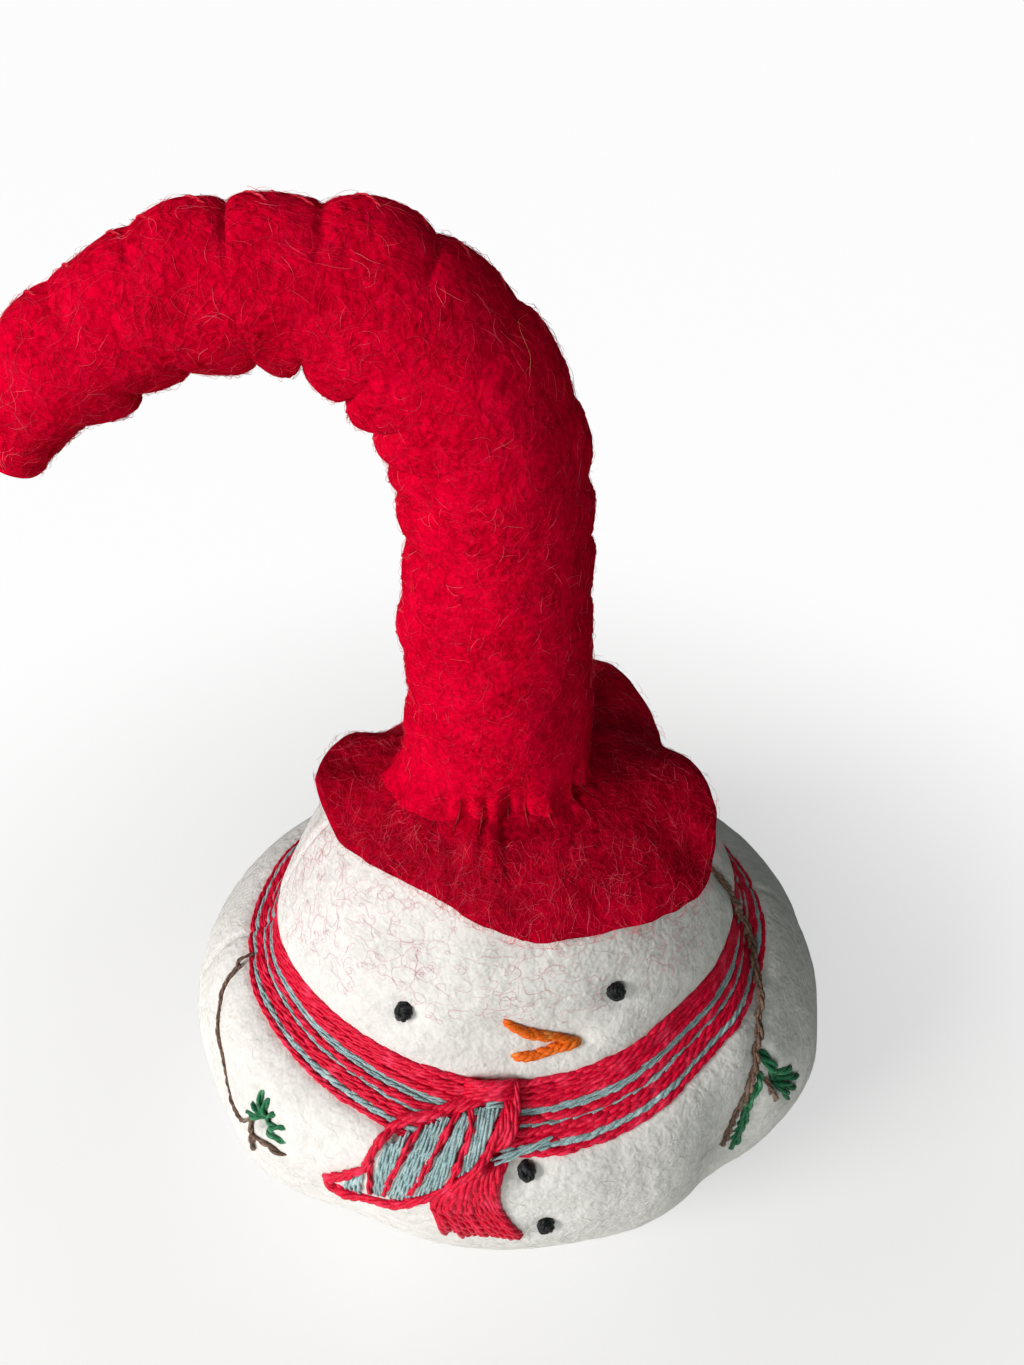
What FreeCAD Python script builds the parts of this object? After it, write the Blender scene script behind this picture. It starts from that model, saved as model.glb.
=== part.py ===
import FreeCAD, Part
import math
import os

# A small stuffed snowman of wool felt. Millimetres, +Z up, front towards -Y, origin at the
# centre of the flat base. Places on the body are given as a distance up the felt from the
# table and a bearing around the body: 0 at the front, 90 at the snowman's +X side.

Vector = FreeCAD.Vector

# ---- felt, thread and clearances
body_felt = 1.2            # white felt of the body and its base
hat_felt = 1.1             # red felt of the hat
ease = 0.06                # clearance between pieces of felt that lie on each other
stitch_ease = 0.12         # clearance between the felt and the stitches laid on it
fill_ease = 0.25           # clearance between a felt shell and its stuffing

# ---- body and head: a belly arc, a neck arc and a head arc, tangent to each other
belly_width = 75.8
belly_height = 15.6        # height of the widest place
belly_round = 16.1         # radius of the belly arc
neck_round = 8.6           # radius of the hollow neck arc
head_radius = 26.4
head_height = 28.6         # height of the head's centre
head_opening = 8.0         # half-width of the hole that the stuffing goes through
body_depth_share = 0.80    # front-to-back depth over width
belly_squareness = 2.26    # 2 is a plain oval
square_from = 22.0         # height where the belly's squareness starts to fade
square_to = 40.0           # height where the head is a plain oval

# Dents that the arm and scarf stitches pull into the felt:
# bearing, half-width of bearing, height, half-height, depth
dents = [
    (36.5, 9.7, 16.2, 10.0, 3.9),
    (-34.0, 14.8, 12.3, 9.1, 3.2),
    (-65.0, 17.3, 16.1, 8.9, 1.4),
    (-122.0, 30.0, 35.5, 7.5, 1.8),
    (111.5, 27.0, 30.3, 7.8, 1.3),
]

# ---- inside the base
card_thickness = 1.5
pellet_bag_width = 44.0
pellet_bag_height = 9.0
pellet_bag_flat = 0.35     # share of the bag's round form that lies flat on the card

# ---- scarf: rows of stitches, from the chin down, as (node, share of the scarf's width)
scarf_top_distance = 44.0  # distance up the felt of the scarf's upper edge at the sides
scarf_sag = 3.4            # how much lower it hangs at the front
scarf_sag_spread = 32.0
scarf_side_width = 6.0
scarf_front_extra = 2.4    # how much wider it is at the front
scarf_width_spread = 40.0
scarf_gap = 0.12           # gap between rows
scarf_height = 0.6         # how far the rows stand off the felt
scarf_rows = [
    ("scarf_top_red_row", 0.34),
    ("scarf_upper_pale_row", 0.12),
    ("scarf_upper_red_line", 0.09),
    ("scarf_thin_pale_line", 0.07),
    ("scarf_middle_red_row", 0.19),
    ("scarf_lower_pale_row", 0.10),
    ("scarf_bottom_red_line", 0.09),
]
knot_width = 4.0
knot_drop = 3.2
knot_bearing = -8.0
knot_height = 1.1
knot_side_path = [(41.0, -2.2), (38.8, -2.0), (36.5, -1.8), (34.2, -2.2)]

# The front tail's two edges from its tip to the knot, and the back tail's two edges from the
# knot down, as places (distance, bearing). Bars and lines of the front tail join the two edges:
# (share of the lower edge, share of the upper edge).
tail_height = 0.65
tail_line_width = 0.75
front_tail_lower = [(23.5, -36.3), (22.4, -32.0), (24.1, -25.8), (25.3, -21.7), (27.1, -17.3),
                    (28.7, -14.3), (30.4, -11.8), (32.0, -9.4), (34.0, -7.6), (35.9, -6.2)]
front_tail_upper = [(25.0, -35.4), (28.2, -29.9), (30.3, -27.6), (32.7, -26.6), (35.0, -25.0),
                    (36.4, -22.1), (37.1, -18.7), (38.0, -14.5)]
tail_bars = [(0.12, 0.19), (0.24, 0.64), (0.35, 0.76), (0.485, 0.87), (0.68, 1.0)]
tail_bar_widths = [0.7, 0.65, 1.1, 0.95, 1.0]
tail_lines = [(0.17, 0.29), (0.295, 0.70), (0.415, 0.82), (0.575, 0.93)]
tail_slant_width = 0.5
pale_stitch = [(36.9, -9.4), (36.9, -6.0)]
back_tail_left = [(31.1, -7.7), (29.3, -10.5), (27.4, -13.0), (26.0, -15.0), (24.2, -15.2),
                  (21.4, -15.0)]
back_tail_right = [(32.1, -4.2), (31.0, -5.6), (29.4, -6.1), (27.5, -5.6), (25.1, -4.1),
                   (20.7, -1.3)]

# ---- form of laid stitches
shoulder = 1.0             # how far from the scarf a thread that crosses it starts to rise
thread_end = 0.45          # width of a thread's end over its full width
knot_end = 0.85            # the same for satin stitches
top_share = 0.86           # width of the top of a stitch over its foot
edge_drop = 0.45           # how much lower the sides of the top are, over the height
tail_inset = 0.5           # gap along a bar between its end and the line round the tail

# ---- face and buttons
knot_stitch_radius = 1.05
knot_wrap_share = 0.4      # a wrap's thickness over the knot's radius
knot_top_share = 0.62      # the top wrap over the low one
left_eye_place = (47.9, -29.0)
right_eye_place = (49.1, 21.8)
upper_button_place = (30.8, -1.6)
lower_button_place = (22.6, 1.2)
nose_tip = (44.4, 11.4)
nose_upper_start = (47.8, -5.9)
nose_lower_start = (43.4, -3.7)
nose_stitch_width = 1.0
nose_stitch_height = 0.7

# ---- arms and fir sprigs
arm_width = 0.9
arm_height = 0.6
needle_width = 0.7
needle_height = 0.45
needle_start = 0.30        # how far from the root a needle starts, over its length
left_arm_path = [(38.6, -82.5), (35.4, -79.2), (33.3, -76.5), (31.3, -73.6), (29.1, -70.0),
                 (27.5, -64.0), (26.6, -58.0), (26.0, -53.5)]
right_arm_path = [(53.2, 69.5), (49.2, 72.6), (45.2, 73.9), (41.1, 73.6), (38.9, 64.1),
                  (37.0, 55.8), (34.1, 47.1), (30.0, 42.4), (25.7, 40.1), (19.6, 37.9)]
left_twig_paths = [[(26.2, -51.6), (24.0, -51.4), (22.1, -51.1)],
                   [(25.4, -50.0), (25.7, -46.6), (25.8, -43.4)]]
right_twig_paths = [[(29.4, 45.0), (27.2, 45.8), (24.8, 46.8)]]
left_needle_root = (27.6, -50.2)
left_needle_tips = [(31.9, -51.8), (32.2, -49.3), (30.6, -47.4), (28.5, -54.6), (29.8, -44.2),
                    (27.4, -44.4)]
right_needle_root = (28.2, 48.4)
right_needle_tips = [(33.0, 49.2), (25.2, 53.1), (21.9, 50.4), (25.4, 47.9), (28.6, 53.6)]
right_garland = [(27.6, 43.3), (24.8, 42.0), (21.3, 41.0), (17.4, 40.0)]

# ---- hat brim: a hand-cut round of felt that lies on the head and lifts in ruffles
brim_radius = 16.45
brim_hole = 4.0            # half-width of the hole that the stuffing goes through
brim_seat = 0.1            # gap between the brim and the head where the brim lies flat
rim_gap = 0.2              # gap more at the rim where it lies flat
brim_ruffles = [(81, 16, 2.9), (159, 40, 11.1), (262, 21, 5.2)]   # bearing, spread, lift of the rim
brim_cuts = [(74, 37, 0.21), (103, 9, -0.09), (150, 38, 0.20), (266, 21, 0.17),
             (325, 30, -0.10)]     # bearing, spread, share of the radius that the rim stands out

# ---- hat crown: straight rise, crook arc, tip arc
crown_lean = -0.8          # X of the straight rise
crown_rise = 30.8          # straight length from the brim to the crook
crook_radius = 16.8
crook_angle = 88.0
tip_radius = 22.3
tip_angle = 66.4
crown_depth_share = 0.86   # section depth over width
crown_squareness = 1.85    # under 2: the section draws to an edge at the two seams
tip_round = 7.3            # length over which the tip rounds off
tip_blunt = 0.45           # end face over full width, where the point is sewn shut
crown_half_widths = [(0.0, 9.6), (0.14, 8.8), (0.38, 8.0), (0.54, 7.8), (0.70, 6.1), (0.85, 5.2),
                     (0.95, 4.3), (1.0, 4.0)]   # share of the spine's length, half-width
seam_allowance = 0.9       # how far the panels lie face to face inside the seam's edge
outer_pinch = 0.5          # how far the thread pulls the outer seam in between two puckers
inner_pinch = 0.9          # the same on the gathered inner seam
pinch_round = 1.5          # radius of the hollow of a pinch
pinch_start = 0.7          # share of the rise where the pinches start
pinch_stop = 1.8           # how far from the tip they end, over the tip's rounding

# ---- stitches that close the felt
seam_thread = 0.55
whip_pitch = 2.8
whip_reach = 15.0          # how far round the seam's edge a whip stitch goes, in degrees
whip_slant = 0.9
gather_count = 26
gather_rise = 1.7          # how far a gathering stitch reaches up the crown
gather_run = 1.5           # how far it reaches out on the brim
gather_bend = 0.35         # where it bends, as a share of its rise
gather_slack = 0.25        # how much the bend stands off
base_stitch_count = 44
base_stitch_low = 0.45     # ends of a base stitch above the table, in thicknesses of felt
base_stitch_high = 2.4
side_stitch_pitch = 4.0
side_stitch_reach = 1.3    # how far a ladder stitch reaches to each side of the seam
tack_count = 10
tack_length = 1.8

# ---- how finely the forms are laid out
body_ring_points = 48
body_ring_step = 4.0
crown_ring_points = 20
crown_ring_step = 2.5
brim_ring_steps = 6
stitch_step = 2.0          # length of one facet of a laid thread
heading_step = 0.02        # share of a path over which its heading is taken
sewing_tolerance = 0.01

half_width = belly_width / 2
full_turn = 2 * math.pi


def smooth_step(value, low, high):
    share = min(max((value - low) / (high - low), 0.0), 1.0)
    return share * share * (3 - 2 * share)


def path_between(path):
    """A smooth path through (distance, bearing) places, as a function of a share from 0 to 1."""
    if len(path) == 2:
        (far_a, turn_a), (far_b, turn_b) = path
        return lambda share: (far_a + (far_b - far_a) * share, turn_a + (turn_b - turn_a) * share)
    curve = Part.BSplineCurve()
    curve.interpolate(Points=[Vector(far, turn, 0) for far, turn in path])
    first, last = curve.FirstParameter, curve.LastParameter

    def place(share):
        spot = curve.value(first + (last - first) * share)
        return spot.x, spot.y

    return place


def values_between(table, key):
    """Smooth value from a sorted table of (key, value) pairs."""
    for (low, low_value), (high, high_value) in zip(table, table[1:]):
        if key <= high:
            return low_value + (high_value - low_value) * smooth_step(key, low, high)
    return table[-1][1]


# ================= body surface =================

belly_centre = Vector(half_width - belly_round, belly_height, 0)
head_centre = Vector(0, head_height, 0)


def neck_centre_point():
    """Centre of the arc that touches the belly arc and the head arc from outside."""
    to_belly = belly_round + neck_round
    to_head = head_radius + neck_round
    between = head_centre - belly_centre
    along = (to_belly ** 2 - to_head ** 2 + between.Length ** 2) / (2 * between.Length)
    across = math.sqrt(to_belly ** 2 - along ** 2)
    unit = between / between.Length
    return belly_centre + unit * along + Vector(unit.y, -unit.x, 0) * across


neck_centre = neck_centre_point()


def angle_of(vector):
    return math.atan2(vector.y, vector.x)


belly_start = math.asin(-belly_height / belly_round)
belly_end = angle_of(neck_centre - belly_centre)
neck_start = angle_of(belly_centre - neck_centre) % full_turn
neck_end = angle_of(head_centre - neck_centre) % full_turn
head_start = angle_of(neck_centre - head_centre)
head_end = math.acos(head_opening / head_radius)
belly_length = belly_round * (belly_end - belly_start)
neck_length = neck_round * (neck_start - neck_end)
head_length = head_radius * (head_end - head_start)
felt_length = belly_length + neck_length + head_length


def profile(distance, lift):
    """Half-width and height of the body's outline, moved outwards by lift."""
    if distance <= belly_length:
        angle = belly_start + distance / belly_round
        centre, radius = belly_centre, belly_round + lift
    elif distance <= belly_length + neck_length:
        angle = neck_start - (distance - belly_length) / neck_round
        centre, radius = neck_centre, neck_round - lift
    else:
        angle = head_start + (distance - belly_length - neck_length) / head_radius
        centre, radius = head_centre, head_radius + lift
    return centre.x + radius * math.cos(angle), centre.y + radius * math.sin(angle)


def distance_at(height, lift=0.0):
    """Distance up the belly arc at a height."""
    return (math.asin((height - belly_height) / (belly_round + lift)) - belly_start) * belly_round


def dent_share(bearing, height):
    share = 1.0
    for dent_bearing, half_turn, dent_height, half_rise, depth in dents:
        turn = (bearing - dent_bearing + 180) % 360 - 180
        rise = height - dent_height
        share -= depth / half_width * math.exp(-(turn / half_turn) ** 2 - (rise / half_rise) ** 2)
    return share


def body_point(distance, bearing, lift=0.0):
    """Point on the felt of the body, or lift above it."""
    width, height = profile(distance, lift)
    fade = smooth_step(height, square_from, square_to)
    power = belly_squareness + (2 - belly_squareness) * fade
    across = math.sin(math.radians(bearing))
    along = -math.cos(math.radians(bearing))
    size = (abs(across) ** power + abs(along) ** power) ** (-1 / power)
    size *= dent_share(bearing, height)
    depth = body_depth_share * (width - lift) + lift
    return Vector(width * across * size, depth * along * size, height)


def closed_wire(points):
    curve = Part.BSplineCurve()
    curve.interpolate(Points=points, PeriodicFlag=True)
    return Part.Wire([curve.toShape()])


def body_ring(distance, lift=0.0, raise_by=0.0):
    turns = [90 + 360 * i / body_ring_points for i in range(body_ring_points)]
    return closed_wire([body_point(distance, turn, lift) + Vector(0, 0, raise_by) for turn in turns])


def spread(first, last, step):
    """Evenly spaced values from first to last, about one step apart."""
    count = max(1, int(math.ceil(abs(last - first) / step)))
    return [first + (last - first) * i / count for i in range(count + 1)]


def body_solid(first, last, lift):
    """The body's form between two distances, lift above the felt's outer side."""
    stops = spread(first, last, body_ring_step)
    return Part.makeLoft([body_ring(stop, lift) for stop in stops], True, False)


def straight_loft(wires):
    return Part.makeLoft(wires, True, True)


def big_box(low, high):
    return Part.makeBox(high[0] - low[0], high[1] - low[1], high[2] - low[2], Vector(*low))


reach = 2 * belly_width    # further than any piece reaches
front_side = big_box((-reach, -reach, -reach), (reach, 0, reach))
back_side = big_box((-reach, 0, -reach), (reach, reach, reach))


def make_body_panels():
    outer = body_solid(0, felt_length, 0.0)
    inner = body_solid(0, felt_length, -body_felt)
    mouth = straight_loft([body_ring(felt_length, -body_felt),
                           body_ring(felt_length, -body_felt, 2 * body_felt)])
    foot = big_box((-reach, -reach, -reach), (reach, reach, body_felt + ease))
    shell = outer.cut(inner).cut(mouth).cut(foot)
    return shell.common(front_side), shell.common(back_side)


def make_base_disc():
    return body_solid(0, distance_at(body_felt), 0.0)


card_low = body_felt + ease
card_top = card_low + card_thickness


def make_base_card():
    lift = -(body_felt + fill_ease)
    outline = body_ring(distance_at(card_low, lift), lift)
    face = Part.Face(outline)
    return face.extrude(Vector(0, 0, card_thickness))


def make_pellet_bag(grow=0.0):
    """A flattened bag: a squashed ball with a flat underside."""
    rest = card_top + ease
    round_height = pellet_bag_height / (1 - pellet_bag_flat)
    ball = Part.makeSphere(1.0)
    squash = FreeCAD.Matrix()
    width = pellet_bag_width / 2 + grow
    squash.scale(width, width * body_depth_share, round_height / 2 + grow)
    ball = ball.transformGeometry(squash)
    ball.translate(Vector(0, 0, rest + pellet_bag_height - round_height / 2))
    floor = big_box((-reach, -reach, -reach), (reach, reach, rest - grow))
    return ball.cut(floor)


def make_body_stuffing():
    """Fibre fill with a hollow for the pellet bag and a groove under each side seam."""
    lift = -(body_felt + fill_ease)
    bottom = distance_at(card_top + fill_ease, lift)
    form = body_solid(bottom, felt_length, lift)
    half = side_stitch_reach + seam_thread
    band = big_box((-reach, -half, -reach), (reach, half, reach))
    groove = band.cut(body_solid(bottom, felt_length, lift - seam_thread))
    return form.cut(make_pellet_bag(fill_ease)).cut(groove)


# ================= stitches laid on the body =================

def around_radius(distance):
    """Length of one radian of bearing at a distance, about."""
    return profile(distance, 0.0)[0] * (1 + body_depth_share) / 2


def scarf_upper_edge(bearing):
    turn = (bearing + 180) % 360 - 180
    return scarf_top_distance - scarf_sag * math.exp(-(turn / scarf_sag_spread) ** 2)


def scarf_width(bearing):
    turn = (bearing + 180) % 360 - 180
    return scarf_side_width + scarf_front_extra * math.exp(-(turn / scarf_width_spread) ** 2)


def over_scarf(distance, bearing):
    """Lift that clears the scarf's rows where a stitch crosses them."""
    upper = scarf_upper_edge(bearing)
    lower = upper - scarf_width(bearing)
    above = 1 - smooth_step(distance, upper + shoulder, upper + 2.5 * shoulder)
    below = smooth_step(distance, lower - 2.5 * shoulder, lower - shoulder)
    return (scarf_height + 1.5 * stitch_ease) * above * below


def laid_section(left, right, height, across_count, raise_by):
    """Closed outline of a laid stitch between two places on the felt, flat across the stitch."""
    shares = [i / (across_count - 1) for i in range(across_count)]

    def place(share, lift):
        far = left[0] + (right[0] - left[0]) * share
        turn = left[1] + (right[1] - left[1]) * share
        return body_point(far, turn, raise_by + over_scarf(far, turn) + lift)

    under = [place(share, 0.0) for share in shares]
    over = []
    for share in reversed(shares):
        drop = edge_drop * (2 * share - 1) ** 2
        over.append(place(0.5 + (share - 0.5) * top_share, height * (1 - drop)))
    chord = under[-1] - under[0]
    normal = chord.cross(over[across_count // 2] - under[0]).normalize()
    flat = [point - normal * normal.dot(point - under[0]) for point in under + over]
    return Part.makePolygon(flat + flat[:1])


def laid_thread(path, width, height, raise_by=stitch_ease, end_share=thread_end, across_count=3):
    """A line of stitches along a path of (distance, bearing) places on the felt."""
    flat = [(math.radians(turn) * around_radius(far), far) for far, turn in path]
    length = sum(math.dist(a, b) for a, b in zip(flat, flat[1:]))
    count = max(2, int(math.ceil(length / stitch_step)))
    place = path_between(path)
    sections = []
    for i in range(count + 1):
        share = i / count
        far, turn = place(share)
        far_a, turn_a = place(max(share - heading_step, 0.0))
        far_b, turn_b = place(min(share + heading_step, 1.0))
        radius = around_radius(far)
        run_up = far_b - far_a
        run_round = math.radians(turn_b - turn_a) * radius
        half = width / 2 / math.hypot(run_up, run_round)
        if i in (0, count):
            half *= end_share
        step_turn = math.degrees(run_up * half / radius)
        left = (far + run_round * half, turn - step_turn)
        right = (far - run_round * half, turn + step_turn)
        sections.append(laid_section(left, right, height, across_count, raise_by))
    return straight_loft(sections)


def laid_patch(left_edge, right_edge, height, across_count):
    """Satin stitches that fill the felt between two edges."""
    left, right = path_between(left_edge), path_between(right_edge)
    count = 2 * (len(left_edge) - 1)
    return straight_loft([laid_section(left(i / count), right(i / count), height, across_count,
                                       stitch_ease) for i in range(count + 1)])


def make_scarf_row(start_share, end_share):
    """One row of the scarf: a closed band between two shares of the scarf's width."""
    turns = [90 + 360 * i / body_ring_points for i in range(body_ring_points)]
    half_gap = scarf_gap / 2

    def edge(share, inset, lift):
        points = []
        for turn in turns:
            far = scarf_upper_edge(turn) - share * scarf_width(turn) + inset
            points.append(body_point(far, turn, lift))
        return closed_wire(points)

    top = stitch_ease + scarf_height
    corners = [edge(start_share, -half_gap, stitch_ease), edge(end_share, half_gap, stitch_ease),
               edge(end_share, half_gap, top), edge(start_share, -half_gap, top)]
    return Part.makeLoft(corners, True, True, True)


def make_scarf_rows():
    rows = {}
    start = 0.0
    for name, share in scarf_rows:
        rows[name] = make_scarf_row(start, start + share)
        start += share
    return rows


def knot_stitch(place):
    """A French knot: a wide wrap of thread with a narrower wrap on it, drawn into a bun."""
    wrap = knot_stitch_radius * knot_wrap_share
    low_ring = knot_stitch_radius - wrap
    high_ring = low_ring * knot_top_share
    high = 2 * wrap
    low_side = Vector(low_ring, 0, 0) + Vector(wrap, 0, wrap)
    waist = Vector(low_ring + wrap / 2, 0, high)
    shoulder_point = Vector(high_ring + wrap, 0, high + wrap / 2)
    top = Vector(high_ring, 0, high + wrap)
    eye = Vector(0, 0, high + wrap * knot_top_share)
    outline = [
        Part.LineSegment(Vector(0, 0, 0), Vector(low_ring, 0, 0)),
        Part.Arc(Vector(low_ring, 0, 0), low_side, waist),
        Part.Arc(waist, shoulder_point, top),
        Part.LineSegment(top, eye),
        Part.LineSegment(eye, Vector(0, 0, 0)),
    ]
    face = Part.Face(Part.Wire([piece.toShape() for piece in outline]))
    bun = face.revolve(Vector(0, 0, 0), Vector(0, 0, 1), 360)
    far, turn = place
    foot = body_point(far, turn, stitch_ease)
    up = body_point(far, turn, stitch_ease + 1.0) - foot
    bun.Placement = FreeCAD.Placement(foot, FreeCAD.Rotation(Vector(0, 0, 1), up))
    return bun


def make_nose():
    strokes = []
    for start in (nose_upper_start, nose_lower_start):
        strokes.append(laid_thread([start, nose_tip], nose_stitch_width, nose_stitch_height))
    return strokes[0].fuse(strokes[1])


# ================= scarf knot and tails =================

def make_scarf_knot():
    """Satin stitches across the scarf's rows, and one long stitch down their side."""
    upper = scarf_upper_edge(knot_bearing)
    path = [(upper, knot_bearing), (upper - knot_drop, knot_bearing)]
    return [laid_thread(path, knot_width, knot_height, end_share=knot_end, across_count=5),
            laid_thread(knot_side_path, tail_line_width, tail_height)]


def inset_from(edge, other, share, other_share):
    """Places on two edges of a tail, moved towards each other to clear the edges' threads."""
    here = path_between(edge)(share)
    there = path_between(other)(other_share)
    across = math.hypot(here[0] - there[0],
                        math.radians(here[1] - there[1]) * around_radius(here[0]))
    part = (tail_line_width / 2 + stitch_ease + tail_inset) / across
    start = [a + (b - a) * part for a, b in zip(here, there)]
    end = [b + (a - b) * part for a, b in zip(here, there)]
    return [tuple(start), tuple(end)]


def make_front_tail():
    """Pale satin bars, a red line round them and red slanting lines between them."""
    bars = []
    for (low, high), width in zip(tail_bars, tail_bar_widths):
        ends = inset_from(front_tail_lower, front_tail_upper, low, high)
        bars.append(laid_thread(ends, width, tail_height, end_share=knot_end))
    bars.append(laid_thread(pale_stitch, tail_line_width, tail_height))
    slants = []
    for low, high in tail_lines:
        ends = inset_from(front_tail_lower, front_tail_upper, low, high)
        slants.append(laid_thread(ends, tail_slant_width, tail_height, end_share=knot_end))
    edges = [laid_thread(edge, tail_line_width, tail_height)
             for edge in (front_tail_lower, front_tail_upper)]
    return bars, slants, edges


def make_back_tail():
    return laid_patch(back_tail_left, back_tail_right, tail_height, 6)


# ================= arms and sprigs =================

def make_arm(path):
    return laid_thread(path, arm_width, arm_height)


def make_twigs(paths):
    return [laid_thread(path, arm_width, arm_height) for path in paths]


def make_sprig(root, tips):
    """Straight needle stitches that fan out round a root."""
    needles = []
    for tip in tips:
        start = [a + (b - a) * needle_start for a, b in zip(root, tip)]
        needles.append(laid_thread([tuple(start), tip], needle_width, needle_height))
    return needles


# ================= brim =================

def head_top(x, y):
    """Height of the head's felt above a point in plan."""
    return head_height + math.sqrt(max(head_radius ** 2 - x ** 2 - (y / body_depth_share) ** 2, 0.0))


def bump(bearing, middle, spread_angle, power):
    turn = abs((bearing - middle + 180) % 360 - 180)
    return math.exp(-(turn / spread_angle) ** power)


def rim_at(bearing):
    """Rim radius and the gap between rim and head at a bearing."""
    cut = sum(share * bump(bearing, middle, wide, 2) for middle, wide, share in brim_cuts)
    lift = sum(rise * bump(bearing, middle, wide, 4) for middle, wide, rise in brim_ruffles)
    return brim_radius * (1 + cut), rim_gap + lift


crown_foot = crown_half_widths[0][1]


def brim_under(radius, bearing):
    """Point on the underside of the brim."""
    rim, gap = rim_at(bearing)
    x = radius * math.sin(math.radians(bearing))
    y = -radius * math.cos(math.radians(bearing))
    outward = max(radius - crown_foot, 0.0) / (rim - crown_foot)
    return Vector(x, y, head_top(x, y) + brim_seat + gap * outward ** 2)


def brim_point(radius, bearing, lift):
    step = 0.1
    point = brim_under(radius, bearing)
    out = brim_under(radius + step, bearing) - brim_under(radius - step, bearing)
    turn = math.degrees(step / radius)
    round_way = brim_under(radius, bearing + turn) - brim_under(radius, bearing - turn)
    return point + out.cross(round_way).normalize() * lift


def make_brim():
    """A smooth upper and under skin, closed by the cut edges at the rim and the hole."""
    turns = [90 + 360 * i / body_ring_points for i in range(body_ring_points)]

    def ring(share, lift):
        points = []
        for turn in turns:
            rim = rim_at(turn)[0]
            points.append(brim_point(brim_hole + (rim - brim_hole) * share, turn, lift))
        return closed_wire(points)

    shares = [i / brim_ring_steps for i in range(brim_ring_steps + 1)]
    under = [ring(share, 0.0) for share in shares]
    over = [ring(share, hat_felt) for share in shares]
    skins = [Part.makeLoft(under, False, False), Part.makeLoft(over, False, False),
             Part.makeLoft([under[0], over[0]], False, True),
             Part.makeLoft([under[-1], over[-1]], False, True)]
    skin = Part.makeShell([face for piece in skins for face in piece.Faces])
    skin.sewShape(sewing_tolerance)
    return Part.makeSolid(skin.Shells[0])


# ================= crown =================

crook_length = crook_radius * math.radians(crook_angle)
tip_length = tip_radius * math.radians(tip_angle)
spine_length = crown_rise + crook_length + tip_length
dome_radius = head_radius + brim_seat + hat_felt
crown_low = head_height + math.sqrt(dome_radius ** 2 - crown_foot ** 2)


def spine(distance):
    """Point on the crown's spine and the direction outward of the bend."""
    start = Vector(crown_lean, 0, crown_low)
    if distance <= crown_rise:
        return start + Vector(0, 0, distance), Vector(1, 0, 0), Vector(0, 0, 1)
    bend_start = start + Vector(0, 0, crown_rise)
    turn = min((distance - crown_rise) / crook_radius, math.radians(crook_angle))
    outward = Vector(math.cos(turn), 0, math.sin(turn))
    centre = bend_start - Vector(crook_radius, 0, 0)
    point = centre + outward * crook_radius
    if distance > crown_rise + crook_length:
        more = (distance - crown_rise - crook_length) / tip_radius
        centre = point - outward * tip_radius
        outward = Vector(math.cos(turn + more), 0, math.sin(turn + more))
        point = centre + outward * tip_radius
    return point, outward, Vector(-outward.z, 0, outward.x)


def crown_half_width(distance):
    width = values_between(crown_half_widths, distance / spine_length)
    past = (distance - (spine_length - tip_round)) / tip_round
    if past > 0:
        width *= tip_blunt + (1 - tip_blunt) * math.sqrt(max(1 - past * past, 0.0))
    return width


def crown_point(distance, turn, lift=0.0, seam_inset=0.0):
    """Point on the crown; turn is 0 on the outer seam and 180 on the inner one."""
    centre, outward, _ = spine(distance)
    across = math.cos(math.radians(turn))
    along = math.sin(math.radians(turn))
    size = (abs(across) ** crown_squareness + abs(along) ** crown_squareness)
    size = size ** (-1 / crown_squareness)
    width = crown_half_width(distance)
    return (centre + outward * (across * size * (width + lift - seam_inset))
            + Vector(0, along * size * (width * crown_depth_share + lift), 0))


def crown_solid(lift, end_trim=0.0, seam_inset=0.0):
    turns = [360 * i / crown_ring_points for i in range(crown_ring_points)]
    rings = []
    for stop in spread(-2.0 * hat_felt, spine_length - end_trim, crown_ring_step):
        rings.append(closed_wire([crown_point(stop, turn, lift, seam_inset) for turn in turns]))
    return Part.makeLoft(rings, True, False)


def whip_places():
    """Where the whip stitches cross the crown's seams, as distances along the spine."""
    return spread(gather_rise + 2 * seam_thread, spine_length - tip_round / 2, whip_pitch)


def make_pinches():
    """Hollows that the whip stitches pull into the two seams round the crook."""
    places = whip_places()
    half_step = (places[1] - places[0]) / 2
    hollows = []
    for place in places[::2]:
        middle = place + half_step
        if not pinch_start * crown_rise < middle < spine_length - pinch_stop * tip_round:
            continue
        centre, outward, _ = spine(middle)
        for side, depth in ((1, outer_pinch), (-1, inner_pinch)):
            out = crown_half_width(middle) - depth + pinch_round
            low = centre + outward * (side * out) - Vector(0, reach, 0)
            hollows.append(Part.makeCylinder(pinch_round, 2 * reach, low, Vector(0, 1, 0)))
    return Part.makeCompound(hollows)


def brim_dome(lift):
    """The brim's flat middle and the head under it, as one solid, lift above the brim."""
    ball = Part.makeSphere(1.0)
    size = FreeCAD.Matrix()
    radius = dome_radius + lift
    size.scale(radius, head_radius * body_depth_share + (radius - head_radius), radius)
    ball = ball.transformGeometry(size)
    ball.translate(Vector(0, 0, head_height))
    return ball


def make_crown_panels():
    outer = crown_solid(0.0)
    inner = crown_solid(-hat_felt, end_trim=hat_felt, seam_inset=seam_allowance)
    shell = outer.cut(inner).cut(brim_dome(ease)).cut(make_pinches())
    return shell.common(front_side), shell.common(back_side)


def make_crown_stuffing():
    gap = hat_felt + fill_ease
    form = crown_solid(-gap, end_trim=gap, seam_inset=seam_allowance)
    return form.cut(brim_dome(fill_ease))


# ================= sewing threads =================

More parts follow.
